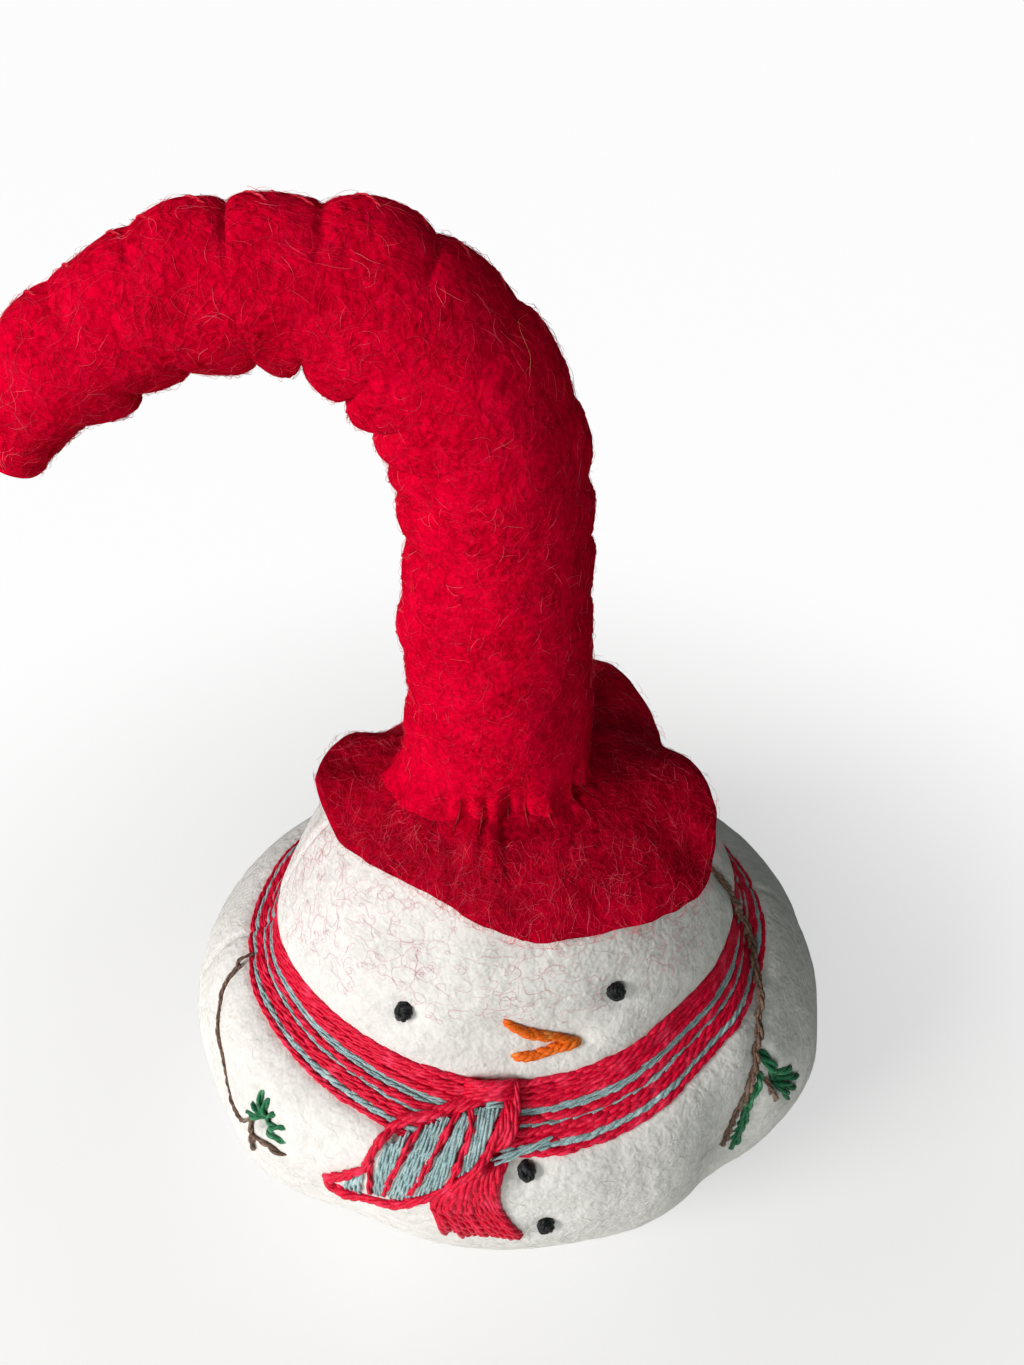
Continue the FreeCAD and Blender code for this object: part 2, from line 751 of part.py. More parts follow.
def thread_solid(points, up, width=seam_thread):
    """A short round thread through points, as a six-sided solid."""
    sections = []
    for i, point in enumerate(points):
        before = points[max(i - 1, 0)]
        after = points[min(i + 1, len(points) - 1)]
        along = (after - before).normalize()
        first = (up - along * up.dot(along)).normalize()
        second = along.cross(first)
        radius = width / 2
        corners = []
        for k in range(6):
            angle = full_turn * k / 6
            corners.append(point + first * (radius * math.cos(angle))
                           + second * (radius * math.sin(angle)))
        sections.append(Part.makePolygon(corners + corners[:1]))
    return straight_loft(sections)


def make_whip_stitches(seam_turn):
    """Slanted stitches over the crown's seam, from the brim to the tip."""
    stitches = []
    lift = seam_thread / 2 + 3 * ease
    for place in whip_places():
        points = []
        for share in (-1.0, -0.4, 0.4, 1.0):
            points.append(crown_point(place + share * whip_slant / 2,
                                      seam_turn + share * whip_reach, lift))
        stitches.append(thread_solid(points, spine(place)[2]))
    return stitches


def make_gathers():
    """Stitches that join the foot of the crown to the brim."""
    stitches = []
    lift = seam_thread / 2 + 2 * ease
    for i in range(gather_count):
        turn = 360 * (i + 0.5) / gather_count
        high = crown_point(gather_rise, turn, lift)
        bend = crown_point(gather_rise * gather_bend, turn, lift + gather_slack)
        bearing = math.degrees(math.atan2(bend.x, -bend.y))
        foot = brim_point(math.hypot(bend.x, bend.y) + gather_run, bearing, hat_felt + lift)
        clear = brim_point(math.hypot(bend.x, bend.y), bearing, hat_felt + lift + ease)
        bend.z = max(bend.z, clear.z)
        stitches.append(thread_solid([high, bend, foot], Vector(0, 0, 1).cross(high - foot)))
    return stitches


def make_tacks():
    """Stitches under the brim that join it to the edge of the head's opening."""
    stitches = []
    drop = seam_thread / 2 + ease
    for i in range(tack_count):
        edge = body_point(felt_length, 360 * (i + 0.5) / tack_count, -body_felt)
        bearing = math.degrees(math.atan2(edge.x, -edge.y))
        start = math.hypot(edge.x, edge.y) - drop
        end = start - tack_length
        points = [brim_point(start, bearing, -drop - body_felt / 2), brim_point(start, bearing, -drop),
                  brim_point(end, bearing, -drop)]
        stitches.append(thread_solid(points, Vector(0, 0, 1).cross(edge)))
    return stitches


def make_base_stitches():
    """Stitches over the edge of the base disc, joining it to the panels."""
    stitches = []
    lift = seam_thread / 2 + 2 * ease
    high = distance_at(base_stitch_high * body_felt)
    low = distance_at(base_stitch_low * body_felt)
    for i in range(base_stitch_count):
        bearing = 360 * (i + 0.5) / base_stitch_count
        slant = 90 / base_stitch_count
        points = [body_point(low, bearing - slant, lift),
                  body_point((low + high) / 2, bearing, lift),
                  body_point(high, bearing + slant, lift)]
        stitches.append(thread_solid(points, Vector(0, 0, 1).cross(points[1])))
    return stitches


def make_side_stitches():
    """Ladder stitches across the two side seams of the body."""
    stitches = []
    lift = -(body_felt + seam_thread / 2 + 1.5 * ease)
    for bearing in (90, 270):
        for place in spread(distance_at(card_top + 3 * body_felt), felt_length - 4 * body_felt,
                            side_stitch_pitch):
            half_turn = math.degrees(side_stitch_reach / around_radius(place))
            points = [body_point(place, bearing - half_turn, lift),
                      body_point(place, bearing + half_turn, lift)]
            stitches.append(thread_solid(points, Vector(0, 0, 1)))
    return stitches


# ================= write the parts =================

def save(name, shapes):
    group = shapes if isinstance(shapes, list) else [shapes]
    solids = [solid for shape in group for solid in shape.Solids]
    shape = solids[0] if len(solids) == 1 else Part.makeCompound(solids)
    shape.exportStep("parts/" + name + ".step")
    print(name, len(solids), "solids", round(shape.Volume, 1), shape.isValid())


def main():
    os.makedirs("parts", exist_ok=True)
    front_panel, back_panel = make_body_panels()
    save("front_panel", front_panel)
    save("back_panel", back_panel)
    save("side_seam_stitches", make_side_stitches())
    save("base_disc", make_base_disc())
    save("base_seam_stitches", make_base_stitches())
    save("base_card", make_base_card())
    save("pellet_bag", make_pellet_bag())
    save("body_stuffing", make_body_stuffing())
    save("left_eye_knot", knot_stitch(left_eye_place))
    save("right_eye_knot", knot_stitch(right_eye_place))
    save("upper_button_knot", knot_stitch(upper_button_place))
    save("lower_button_knot", knot_stitch(lower_button_place))
    save("nose_stitches", make_nose())
    for name, row in make_scarf_rows().items():
        save(name, row)
    save("scarf_knot", make_scarf_knot())
    bars, slants, edges = make_front_tail()
    save("front_tail_pale_bars", bars)
    save("front_tail_red_lines", slants)
    save("front_tail_outline", edges)
    save("back_tail", make_back_tail())
    save("left_arm", make_arm(left_arm_path))
    save("right_arm", make_arm(right_arm_path))
    save("left_hand_twigs", make_twigs(left_twig_paths))
    save("right_hand_twigs", make_twigs(right_twig_paths))
    save("left_fir_sprig", make_sprig(left_needle_root, left_needle_tips))
    garland = laid_thread(right_garland, needle_width, needle_height)
    save("right_fir_sprig", make_sprig(right_needle_root, right_needle_tips) + [garland])
    save("hat_brim", make_brim())
    front_crown, back_crown = make_crown_panels()
    save("crown_front_panel", front_crown)
    save("crown_back_panel", back_crown)
    save("crown_stuffing", make_crown_stuffing())
    save("crown_outer_seam_stitches", make_whip_stitches(0))
    save("crown_inner_seam_stitches", make_whip_stitches(180))
    save("crown_gathers", make_gathers())
    save("brim_tacks", make_tacks())


main()
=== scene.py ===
import math

import bpy
import numpy as np
from mathutils import Matrix, Vector


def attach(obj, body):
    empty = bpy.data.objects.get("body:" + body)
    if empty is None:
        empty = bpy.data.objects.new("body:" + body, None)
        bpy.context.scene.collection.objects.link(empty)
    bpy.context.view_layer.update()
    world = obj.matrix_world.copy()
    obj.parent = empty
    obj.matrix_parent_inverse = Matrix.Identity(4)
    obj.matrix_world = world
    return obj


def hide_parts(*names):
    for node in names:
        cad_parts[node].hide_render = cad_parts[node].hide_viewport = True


# The stuffed felt snowman's looks. Lengths are millimetres in the part's frame until they reach
# a mesh. Places on the body are a distance up the felt from the table and a bearing around the
# body, 0 at the front and 90 at +X, as in the CAD source. The body, brim and crown are worked
# out again here by the same formulas, then given seams, puckers, lumps, threads and fibres.

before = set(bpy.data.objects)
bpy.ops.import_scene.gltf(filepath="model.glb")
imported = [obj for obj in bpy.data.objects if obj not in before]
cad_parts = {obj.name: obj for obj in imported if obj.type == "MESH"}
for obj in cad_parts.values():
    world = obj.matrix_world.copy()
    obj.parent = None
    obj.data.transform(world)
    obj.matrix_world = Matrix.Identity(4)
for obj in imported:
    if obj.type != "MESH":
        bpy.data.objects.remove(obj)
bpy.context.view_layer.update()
MM = 0.001
TURN = 2 * math.pi
rng = np.random.default_rng(11)

# ---- sizes shared with the CAD source
hat_felt = 1.1             # thickness of the red felt
belly_width = 75.8
belly_height = 15.6
belly_round = 16.1
neck_round = 8.6
head_radius = 26.4
head_height = 28.6
head_opening = 8.0
body_depth_share = 0.80
belly_squareness = 2.26
square_from = 22.0
square_to = 40.0
# dents that the stitches pull into the body: bearing, half-width, height, half-height, depth
dents = [(36.5, 9.7, 16.2, 10.0, 3.9), (-34.0, 14.8, 12.3, 9.1, 3.2), (-65.0, 17.3, 16.1, 8.9, 1.4),
         (-122.0, 30.0, 35.5, 7.5, 1.8), (111.5, 27.0, 30.3, 7.8, 1.3)]
scarf_top_distance = 44.0
scarf_sag = 3.4
scarf_sag_spread = 32.0
scarf_side_width = 6.0
scarf_front_extra = 2.4
scarf_width_spread = 40.0
brim_radius = 16.45
brim_hole = 4.0
brim_seat = 0.1
rim_gap = 0.2
brim_ruffles = [(81, 16, 2.9), (159, 40, 11.1), (262, 21, 5.2)]   # bearing, spread, lift of the rim
# bearing, spread and share of the radius by which the rim is cut wider or narrower
brim_cuts = [(74, 37, 0.21), (103, 9, -0.09), (150, 38, 0.20), (266, 21, 0.17), (325, 30, -0.10)]
crown_lean = -0.8
crown_rise = 30.8
crook_radius = 16.8
crook_angle = 88.0
tip_radius = 22.3
tip_angle = 66.4
crown_depth_share = 0.86
crown_squareness = 1.85
tip_round = 7.3
tip_blunt = 0.45
# share of the spine's length, half-width of the crown there
crown_half_widths = [(0.0, 9.6), (0.14, 8.8), (0.38, 8.0), (0.54, 7.8), (0.70, 6.1), (0.85, 5.2),
                     (0.95, 4.3), (1.0, 4.0)]
whip_pitch = 2.8
first_whip = 2.8

# ---- forms that only the soft felt and its threads have
row_height = 0.75          # how far the threads of the scarf's rows stand off the felt
scarf_pull = 0.45          # how deep the rows of the scarf draw the felt in
scarf_puff = 0.35          # how far the felt puffs up beside them
puff_gap, puff_width = 2.6, 2.2
side_seam, side_seam_depth, side_seam_width = 90.0, 0.35, 0.45
arm_hollow = (27.0, -66.0, 6.5, 13.0, 1.1)   # distance, bearing, their half-widths, depth
rim_curls = [(-64, 24, 1.9, 0.07), (58, 27, 3.3, 0.12)]   # bearing, width, rise, reach
gather_count = 26
foot_flare = 1.4           # how far the crown's foot flares, all round
foot_bulge = (200.0, 50.0, 2.3)   # turn, spread and size of a further flare at the foot
# scallops of the crown's seams: side, turn, size where straight, more where the crown bends
scallops = [(1, 0.0, 0.10, 0.20), (-1, 180.0, 0.14, 0.52)]
# lumps of the filling and waves of the felt: height, size across, seed
body_lumps = [(0.34, 11.0, 1), (0.17, 5.0, 2), (0.05, 1.6, 3)]
brim_waves = [(0.32, 6.0, 21), (0.16, 2.4, 22)]
gather_lumps = [(0.8, 1.9, 23), (0.6, 3.6, 34)]
crown_lumps = [(0.42, 8.0, 31), (0.22, 3.6, 32), (0.06, 1.4, 33)]

# scarf rows: name, share of the scarf's width, threads side by side, colour
scarf_rows = [
    ("scarf_top_red_row", 0.34, 4, "red"),
    ("scarf_upper_pale_row", 0.12, 2, "pale"),
    ("scarf_upper_red_line", 0.09, 1, "red"),
    ("scarf_thin_pale_line", 0.07, 1, "pale"),
    ("scarf_middle_red_row", 0.19, 2, "red"),
    ("scarf_lower_pale_row", 0.10, 1, "pale"),
    ("scarf_bottom_red_line", 0.09, 1, "red"),
]


def full_turn(count):
    """Evenly spread turns in degrees, right round, as one row."""
    return np.linspace(0, 360, count, endpoint=False)[None, :]


def smooth_step(value, low, high):
    share = np.clip((value - low) / (high - low), 0.0, 1.0)
    return share * share * (3 - 2 * share)


def between(table, key):
    """Smooth values from a sorted table of (key, value) pairs."""
    key = np.asarray(key, float)
    keys = np.array([pair[0] for pair in table])
    values = np.array([pair[1] for pair in table])
    i = np.clip(np.searchsorted(keys, key) - 1, 0, len(keys) - 2)
    share = np.clip((key - keys[i]) / (keys[i + 1] - keys[i]), 0.0, 1.0)
    return values[i] + (values[i + 1] - values[i]) * share * share * (3 - 2 * share)


def swing(bearing, middle=0.0):
    """Signed turn from a middle bearing, from -180 to 180."""
    return (bearing - middle + 180) % 360 - 180


def bump_at(bearing, middle, wide, power):
    return np.exp(-(np.abs(swing(bearing, middle)) / wide) ** power)


def hill(away, wide):
    return np.exp(-(away / wide) ** 2)


def unit(vectors):
    return vectors / np.maximum(np.linalg.norm(vectors, axis=-1, keepdims=True), 1e-9)


def lattice(x, y, z, seed):
    value = np.sin(x * 127.1 + y * 311.7 + z * 74.7 + seed * 53.3) * 43758.5453
    return 2 * (value - np.floor(value)) - 1


def noise(points, size, seed=0):
    """Smooth noise from -1 to 1 whose lumps are about size across."""
    scaled = points / size
    low = np.floor(scaled)
    part = scaled - low
    part = part * part * (3 - 2 * part)
    total = 0.0
    for corner in range(8):
        step = np.array([corner & 1, corner >> 1 & 1, corner >> 2 & 1])
        weight = np.prod(np.where(step == 1, part, 1 - part), axis=-1)
        cell = low + step
        total = total + weight * lattice(cell[..., 0], cell[..., 1], cell[..., 2], seed)
    return total


def lumps_of(points, layers):
    """Noise of several sizes, one on the other; layers are (height, size, seed)."""
    return sum(height * noise(points, size, seed) for height, size, seed in layers)


# ================= body form =================

half_width = belly_width / 2
belly_centre = np.array([half_width - belly_round, belly_height])
head_centre = np.array([0.0, head_height])
to_belly = belly_round + neck_round
to_head = head_radius + neck_round
centre_gap = head_centre - belly_centre
centre_span = np.linalg.norm(centre_gap)
along_gap = (to_belly ** 2 - to_head ** 2 + centre_span ** 2) / (2 * centre_span)
across_gap = math.sqrt(to_belly ** 2 - along_gap ** 2)
gap_unit = centre_gap / centre_span
neck_centre = (belly_centre + gap_unit * along_gap
               + np.array([gap_unit[1], -gap_unit[0]]) * across_gap)


def angle_of(vector):
    return math.atan2(vector[1], vector[0])


belly_start = math.asin(-belly_height / belly_round)
belly_end = angle_of(neck_centre - belly_centre)
neck_start = angle_of(belly_centre - neck_centre) % TURN
neck_end = angle_of(head_centre - neck_centre) % TURN
head_start = angle_of(neck_centre - head_centre)
head_end = math.acos(head_opening / head_radius)
belly_length = belly_round * (belly_end - belly_start)
neck_length = neck_round * (neck_start - neck_end)
head_length = head_radius * (head_end - head_start)
felt_length = belly_length + neck_length + head_length


def profile(distance, lift):
    """Half-width and height of the body's outline, moved outwards by lift."""
    distance = np.asarray(distance, float)
    belly = belly_start + distance / belly_round
    neck = neck_start - (distance - belly_length) / neck_round
    head = head_start + (distance - belly_length - neck_length) / head_radius
    zones = [distance <= belly_length, distance <= belly_length + neck_length]
    x = np.select(zones, [belly_centre[0] + (belly_round + lift) * np.cos(belly),
                          neck_centre[0] + (neck_round - lift) * np.cos(neck)],
                  (head_radius + lift) * np.cos(head))
    z = np.select(zones, [belly_centre[1] + (belly_round + lift) * np.sin(belly),
                          neck_centre[1] + (neck_round - lift) * np.sin(neck)],
                  head_height + (head_radius + lift) * np.sin(head))
    return x, z


def body_point(distance, bearing, lift=0.0):
    width, height = profile(distance, lift)
    power = belly_squareness + (2 - belly_squareness) * smooth_step(height, square_from, square_to)
    across = np.sin(np.radians(bearing))
    along = -np.cos(np.radians(bearing))
    size = (np.abs(across) ** power + np.abs(along) ** power) ** (-1 / power)
    for dent_bearing, half_turn, dent_height, half_rise, depth in dents:
        turn = swing(bearing, dent_bearing)
        rise = height - dent_height
        size = size - size * (depth / half_width * np.exp(
            -(turn / half_turn) ** 2 - (rise / half_rise) ** 2))
    depth = body_depth_share * (width - lift) + lift
    return np.stack([width * across * size, depth * along * size, height + 0 * size], axis=-1)


def around_radius(distance):
    return profile(distance, 0.0)[0] * (1 + body_depth_share) / 2


def scarf_edges(bearing):
    """Distances of the scarf's upper and lower edge at a bearing."""
    turn = swing(np.asarray(bearing))
    upper = scarf_top_distance - scarf_sag * hill(turn, scarf_sag_spread)
    width = scarf_side_width + scarf_front_extra * hill(turn, scarf_width_spread)
    return upper, upper - width


# ---- embroidery, as places (distance, bearing), the same as in the CAD source
left_eye = (47.9, -29.0)
right_eye = (49.1, 21.8)
upper_button = (30.8, -1.6)
lower_button = (22.6, 1.2)
nose_tip = (44.4, 11.4)
nose_starts = [(47.8, -5.9), (43.4, -3.7)]
left_arm_path = [(38.6, -82.5), (36.2, -80.0), (34.0, -77.8), (31.6, -74.6), (28.8, -71.0),
                 (25.6, -66.4), (23.8, -61.0), (24.0, -56.4), (26.8, -52.9)]
right_arm_path = [(53.2, 69.5), (49.2, 72.6), (45.2, 73.9), (41.1, 73.6), (38.9, 64.1),
                  (37.0, 55.8), (34.1, 47.4), (30.4, 42.9), (26.4, 40.5), (18.6, 38.4)]
left_twig_paths = [[(27.6, -52.8), (24.6, -51.5), (21.6, -51.6)],
                   [(25.2, -51.0), (26.1, -47.0), (26.0, -43.2)]]
right_twig_paths = [[(29.4, 45.0), (27.2, 45.8), (24.8, 46.8)]]
left_needle_root = (28.0, -49.8)
left_needle_tips = [(32.1, -51.8), (31.9, -49.6), (30.8, -47.2), (26.8, -54.6), (29.6, -52.8),
                    (30.0, -44.2), (27.8, -43.8)]
right_needles = [((33.4, 46.4), (27.0, 47.9)), ((33.0, 47.3), (26.6, 48.6)),
                 ((28.4, 47.8), (25.0, 53.4)), ((27.4, 48.2), (23.2, 52.4)),
                 ((27.0, 48.0), (22.7, 50.2)), ((28.6, 48.0), (27.6, 51.8))]
right_garland = [(30.4, 44.6), (28.6, 43.4), (26.0, 42.1), (21.6, 41.3), (16.8, 40.2)]
front_tail_lower = [(23.9, -36.2), (23.2, -33.6), (23.7, -30.2), (24.7, -26.0), (25.6, -21.6),
                    (27.4, -17.8), (28.9, -14.8), (30.4, -12.0), (31.9, -9.5), (33.5, -7.8),
                    (35.9, -6.2), (38.0, -5.4)]
front_tail_upper = [(24.7, -35.7), (28.0, -30.6), (30.0, -27.8), (32.6, -26.7), (35.0, -25.0),
                    (36.3, -22.3), (37.1, -18.9), (38.1, -15.4), (39.4, -12.8)]
pale_bars = [([(29.4, -27.8), (24.4, -28.6)], [(26.6, -31.0), (24.0, -32.2)], 4),
             ([(33.0, -25.4), (25.4, -26.2)], [(35.2, -21.4), (25.8, -24.6)], 4),
             ([(35.8, -19.4), (25.4, -24.0)], [(37.0, -15.0), (26.2, -20.4)], 5),
             ([(37.6, -12.8), (26.8, -19.6)], [(36.8, -11.6), (28.8, -15.2)], 5),
             ([(38.0, -9.9), (29.6, -13.2)], [(38.0, -6.2), (31.8, -9.9)], 5)]
pale_stitches = [((38.7, -8.9), (38.7, -5.4)), ((38.2, -8.7), (38.2, -5.4)),
                 ((34.4, 3.0), (32.6, -7.2)), ((34.0, 2.4), (32.2, -6.8))]
tail_lines = [[(30.6, -27.2), (28.2, -26.6), (25.6, -26.4)],
              [(35.8, -20.0), (32.6, -21.7), (29.5, -23.2), (25.8, -24.3)],
              [(38.0, -13.6), (35.4, -15.4), (31.9, -17.6), (27.2, -20.1)],
              [(38.4, -11.8), (35.8, -10.9), (32.9, -12.3), (29.4, -13.9)]]
back_tail_left = [(31.8, -9.2), (30.2, -11.9), (28.6, -14.4), (27.0, -16.6), (24.3, -15.6),
                  (20.8, -14.9)]
back_tail_right = [(32.5, -4.7), (30.5, -6.0), (28.3, -6.2), (25.9, -5.5), (23.4, -3.7),
                   (20.9, -1.4)]
knot_top = [(41.2, -13.0), (41.2, -3.2)]
knot_bottom = [(39.2, -13.2), (38.9, -2.8)]
knot_fan = [((39.6, -10.0), (37.2, -17.5)), ((39.9, -9.0), (38.0, -16.2)),
            ((39.2, -8.0), (37.6, -14.6))]
knot_drops = [[(41.0, -3.2), (39.4, -2.9), (37.4, -3.0), (35.0, -4.2), (33.4, -6.9)],
              [(39.0, -4.0), (37.4, -4.0), (35.3, -4.9), (33.8, -7.0)],
              [(38.9, -5.2), (37.2, -4.9), (35.6, -5.4), (34.2, -7.0)]]


def path_places(path, count):
    """Evenly spaced places along a smooth path through a few places, as (count, 2)."""
    path = np.asarray(path, float)
    if len(path) == 2:
        share = np.linspace(0, 1, count)[:, None]
        return path[0] + (path[1] - path[0]) * share
    steps = np.linalg.norm(np.diff(path, axis=0), axis=1)
    knots = np.concatenate([[0], np.cumsum(steps)])
    padded = np.vstack([2 * path[0] - path[1], path, 2 * path[-1] - path[-2]])
    fine = []
    for i in range(len(path) - 1):
        share = np.linspace(0, 1, 24, endpoint=False)[:, None]
        a, b, c, d = padded[i:i + 4]
        fine.append(0.5 * (2 * b + (c - a) * share + (2 * a - 5 * b + 4 * c - d) * share ** 2
                           + (3 * b - a - 3 * c + d) * share ** 3))
    fine = np.vstack(fine + [path[-1:]])
    length = np.concatenate([[0], np.cumsum(np.linalg.norm(np.diff(fine, axis=0), axis=1))])
    want = np.linspace(0, length[-1], count)
    return np.stack([np.interp(want, length, fine[:, k]) for k in range(2)], axis=1)


def felt_gap(distance, bearing, places):
    """Distance over the felt from each point to the nearest of some places."""
    radius = around_radius(distance)
    nearest = np.full(distance.shape, 1e9)
    for far, turn in places:
        gap = np.hypot(distance - far, np.radians(swing(bearing, turn)) * radius)
        nearest = np.minimum(nearest, gap)
    return nearest


# Places where a thread pulls the felt in: places, how deep, how wide
pulls = [
    ([left_eye, right_eye, upper_button, lower_button], 0.55, 1.7),
    (path_places(left_arm_path, 40), 0.45, 1.3),
    (path_places(right_arm_path, 60), 0.55, 1.5),
    (path_places(right_garland, 14), 0.35, 1.1),
    (path_places([nose_starts[0], nose_tip], 14), 0.3, 1.2),
    (path_places([nose_starts[1], nose_tip], 14), 0.3, 1.2),
]
for tip in left_needle_tips:
    pulls.append((path_places([left_needle_root, tip], 6), 0.3, 0.9))
for needle in right_needles:
    pulls.append((path_places(needle, 6), 0.3, 0.9))


def felt_swell(distance, bearing):
    """How far the white felt stands off its plain form: lumps of filling, and pulled-in stitches."""
    swell = lumps_of(body_point(distance, bearing), body_lumps)
    upper, lower = scarf_edges(bearing)
    below_top = 1 - smooth_step(distance, upper - 0.5, upper + 0.9)
    inside = smooth_step(distance, lower - 0.9, lower + 0.5) * below_top
    beside = (hill(distance - upper - puff_gap, puff_width)
              + hill(distance - lower + puff_gap, puff_width))
    swell = swell - scarf_pull * inside + scarf_puff * beside
    for places, depth, wide in pulls:
        swell = swell - depth * hill(felt_gap(distance, bearing, places), wide)
    far, turn, half_rise, half_turn, depth = arm_hollow
    swell = swell - depth * bump_at(bearing, turn, half_turn, 2) * hill(distance - far, half_rise)
    seam = np.minimum(np.abs(swing(bearing, side_seam)), np.abs(swing(bearing, -side_seam)))
    seam = np.radians(seam) * around_radius(distance)
    swell = swell - side_seam_depth * hill(seam, side_seam_width)
    return swell * smooth_step(distance, 0.0, 5.0)


def felt_place(distance, bearing, lift=0.0):
    """Point over the white felt's real surface."""
    return body_point(distance, bearing, felt_swell(distance, bearing) + lift)


def felt_up(distance, bearing):
    return unit(body_point(distance, bearing, 0.5) - body_point(distance, bearing, -0.5))


# ================= meshes =================

def add_mesh(name, points, faces, material, slot):
    """A smooth mesh piece from points in millimetres and quads, riding on the root body."""
    points = np.asarray(points, float).reshape(-1, 3) * MM
    faces = np.asarray(faces, np.int32).reshape(-1, 4)
    mesh = bpy.data.meshes.new(name)
    mesh.vertices.add(len(points))
    mesh.vertices.foreach_set("co", points.astype(np.float32).ravel())
    mesh.loops.add(faces.size)
    mesh.loops.foreach_set("vertex_index", faces.ravel())
    mesh.polygons.add(len(faces))
    mesh.polygons.foreach_set("loop_start", np.arange(0, faces.size, 4, dtype=np.int32))
    mesh.polygons.foreach_set("loop_total", np.full(len(faces), 4, np.int32))
    mesh.polygons.foreach_set("use_smooth", np.ones(len(faces), bool))
    mesh.update(calc_edges=True)
    mesh.validate()
    mesh.materials.append(material)
    piece = bpy.data.objects.new(name, mesh)
    bpy.context.scene.collection.objects.link(piece)
    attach(piece, "root")
    return piece


def grid_faces(rows, columns, ring=False):
    """Quads between rows of points that each close on themselves; ring joins last row to first."""
    row = np.arange(rows if ring else rows - 1)[:, None]
    below = (row + 1) % rows
    column = np.arange(columns)[None, :]
    after = (column + 1) % columns
    quads = [row * columns + column, row * columns + after, below * columns + after,
             below * columns + column]
    return np.stack(quads, axis=-1).reshape(-1, 4)


def add_skin(name, points, material, slot, ring=False):
    """A mesh piece from rows of points that each close on themselves."""
    rows, columns = points.shape[:2]
    return add_mesh(name, points, grid_faces(rows, columns, ring), material, slot)


def closed_skin(skin, low, low_shares, high, high_shares):
    """Rings of a skin, closed at both ends by rings that shrink towards the points low and high."""
    below = [low + (skin[0] - low) * share for share in low_shares]
    above = [high + (skin[-1] - high) * share for share in high_shares]
    return np.stack(below + list(skin) + above)


def tube_mesh(lines, up, radius, sides):
    """Points and quads of round tubes: lines (tubes, stops, 3), up alike, radius (tubes, stops)."""
    tangent = unit(np.gradient(lines, axis=1))
    side = unit(np.cross(tangent, up))
    top = np.cross(side, tangent)
    angle = np.arange(sides) * TURN / sides
    ring = (side[:, :, None, :] * np.cos(angle)[None, None, :, None]
            + top[:, :, None, :] * np.sin(angle)[None, None, :, None])
    points = lines[:, :, None, :] + ring * radius[:, :, None, None]
    tubes, stops = lines.shape[:2]
    faces = grid_faces(stops, sides)
    start = (np.arange(tubes) * stops * sides)[:, None, None]
    return points.reshape(-1, 3), (faces[None] + start).reshape(-1, 4)


def plied_mesh(lines, up, radius, plies=3, twist=2.4, sides=6, fray=0.0):
    """Twisted threads: every line becomes a few strands that wind round each other.

    A strand's centre winds at about half the thread's radius, and the strands touch.
    """
    tangent = unit(np.gradient(lines, axis=1))
    side = unit(np.cross(tangent, up))
    top = np.cross(side, tangent)
    steps = np.linalg.norm(np.diff(lines, axis=1), axis=-1)
    length = np.concatenate([np.zeros((len(lines), 1)), np.cumsum(steps, axis=1)], axis=1)
    start = rng.random((len(lines), 1)) * TURN
    every = []
    for ply in range(plies):
        angle = start + TURN * (length / twist + ply / plies)
        unevenness = 1.0 + fray * noise(lines + 40 * ply, 1.3, 5 + ply)
        out = side * np.cos(angle)[..., None] + top * np.sin(angle)[..., None]
        centre = lines + out * (radius * 0.52 * unevenness)[..., None]
        every.append(tube_mesh(centre, up, radius * 0.60, sides))
    return join_meshes(every)


def join_meshes(parts):
    """One list of points and one of quads from several pairs of them."""
    points, faces, count = [], [], 0
    for some_points, some_faces in parts:
        points.append(some_points)
        faces.append(some_faces + count)
        count += len(some_points)
    return np.vstack(points), np.vstack(faces)


# ================= materials =================

class Nodes:
    """A short way to wire up one material's nodes."""

    def __init__(self, name):
        self.material = bpy.data.materials.new(name)
        self.material.use_nodes = True
        self.tree = self.material.node_tree
        self.shader = self.tree.nodes["Principled BSDF"]
        self.place = self.tree.nodes.new("ShaderNodeTexCoord").outputs["Object"]

    def add(self, kind, **inputs):
        node = self.tree.nodes.new("ShaderNode" + kind)
        for name, value in inputs.items():
            self.put(node.inputs[name.replace("_", " ")], value)
        return node

    def put(self, socket, value):
        if isinstance(value, bpy.types.NodeSocket):
            self.tree.links.new(value, socket)
        else:
            socket.default_value = value

    def noise(self, size, detail, distortion=0.0):
        """Noise whose lumps are about size millimetres across."""
        node = self.add("TexNoise", Scale=1 / (size * MM), Detail=detail, Distortion=distortion,
                        Roughness=0.6)
        self.put(node.inputs["Vector"], self.place)
        return node.outputs["Fac"]

    def ramp(self, value, low, high, start=0.0, stop=1.0):
        node = self.tree.nodes.new("ShaderNodeMapRange")
        node.interpolation_type = "SMOOTHSTEP"
        node.clamp = True
        for socket, given in zip(node.inputs, (value, low, high, start, stop)):
            self.put(socket, given)
        return node.outputs["Result"]

    def math(self, kind, a, b):
        node = self.tree.nodes.new("ShaderNodeMath")
        node.operation = kind
        self.put(node.inputs[0], a)
        self.put(node.inputs[1], b)
        return node.outputs[0]

    def mix(self, share, first, second):
        node = self.tree.nodes.new("ShaderNodeMix")
        node.data_type = "RGBA"
        self.put(node.inputs[0], share)
        self.put(node.inputs[6], first)
        self.put(node.inputs[7], second)
        return node.outputs[2]

    def bump(self, height, depth, strength, under=None):
        node = self.add("Bump", Strength=strength, Distance=depth * MM, Height=height)
        if under is not None:
            self.put(node.inputs["Normal"], under)
        return node.outputs["Normal"]

    def finish(self, **values):
        for name, value in values.items():
            self.put(self.shader.inputs[name.replace("_", " ")], value)
        return self.material


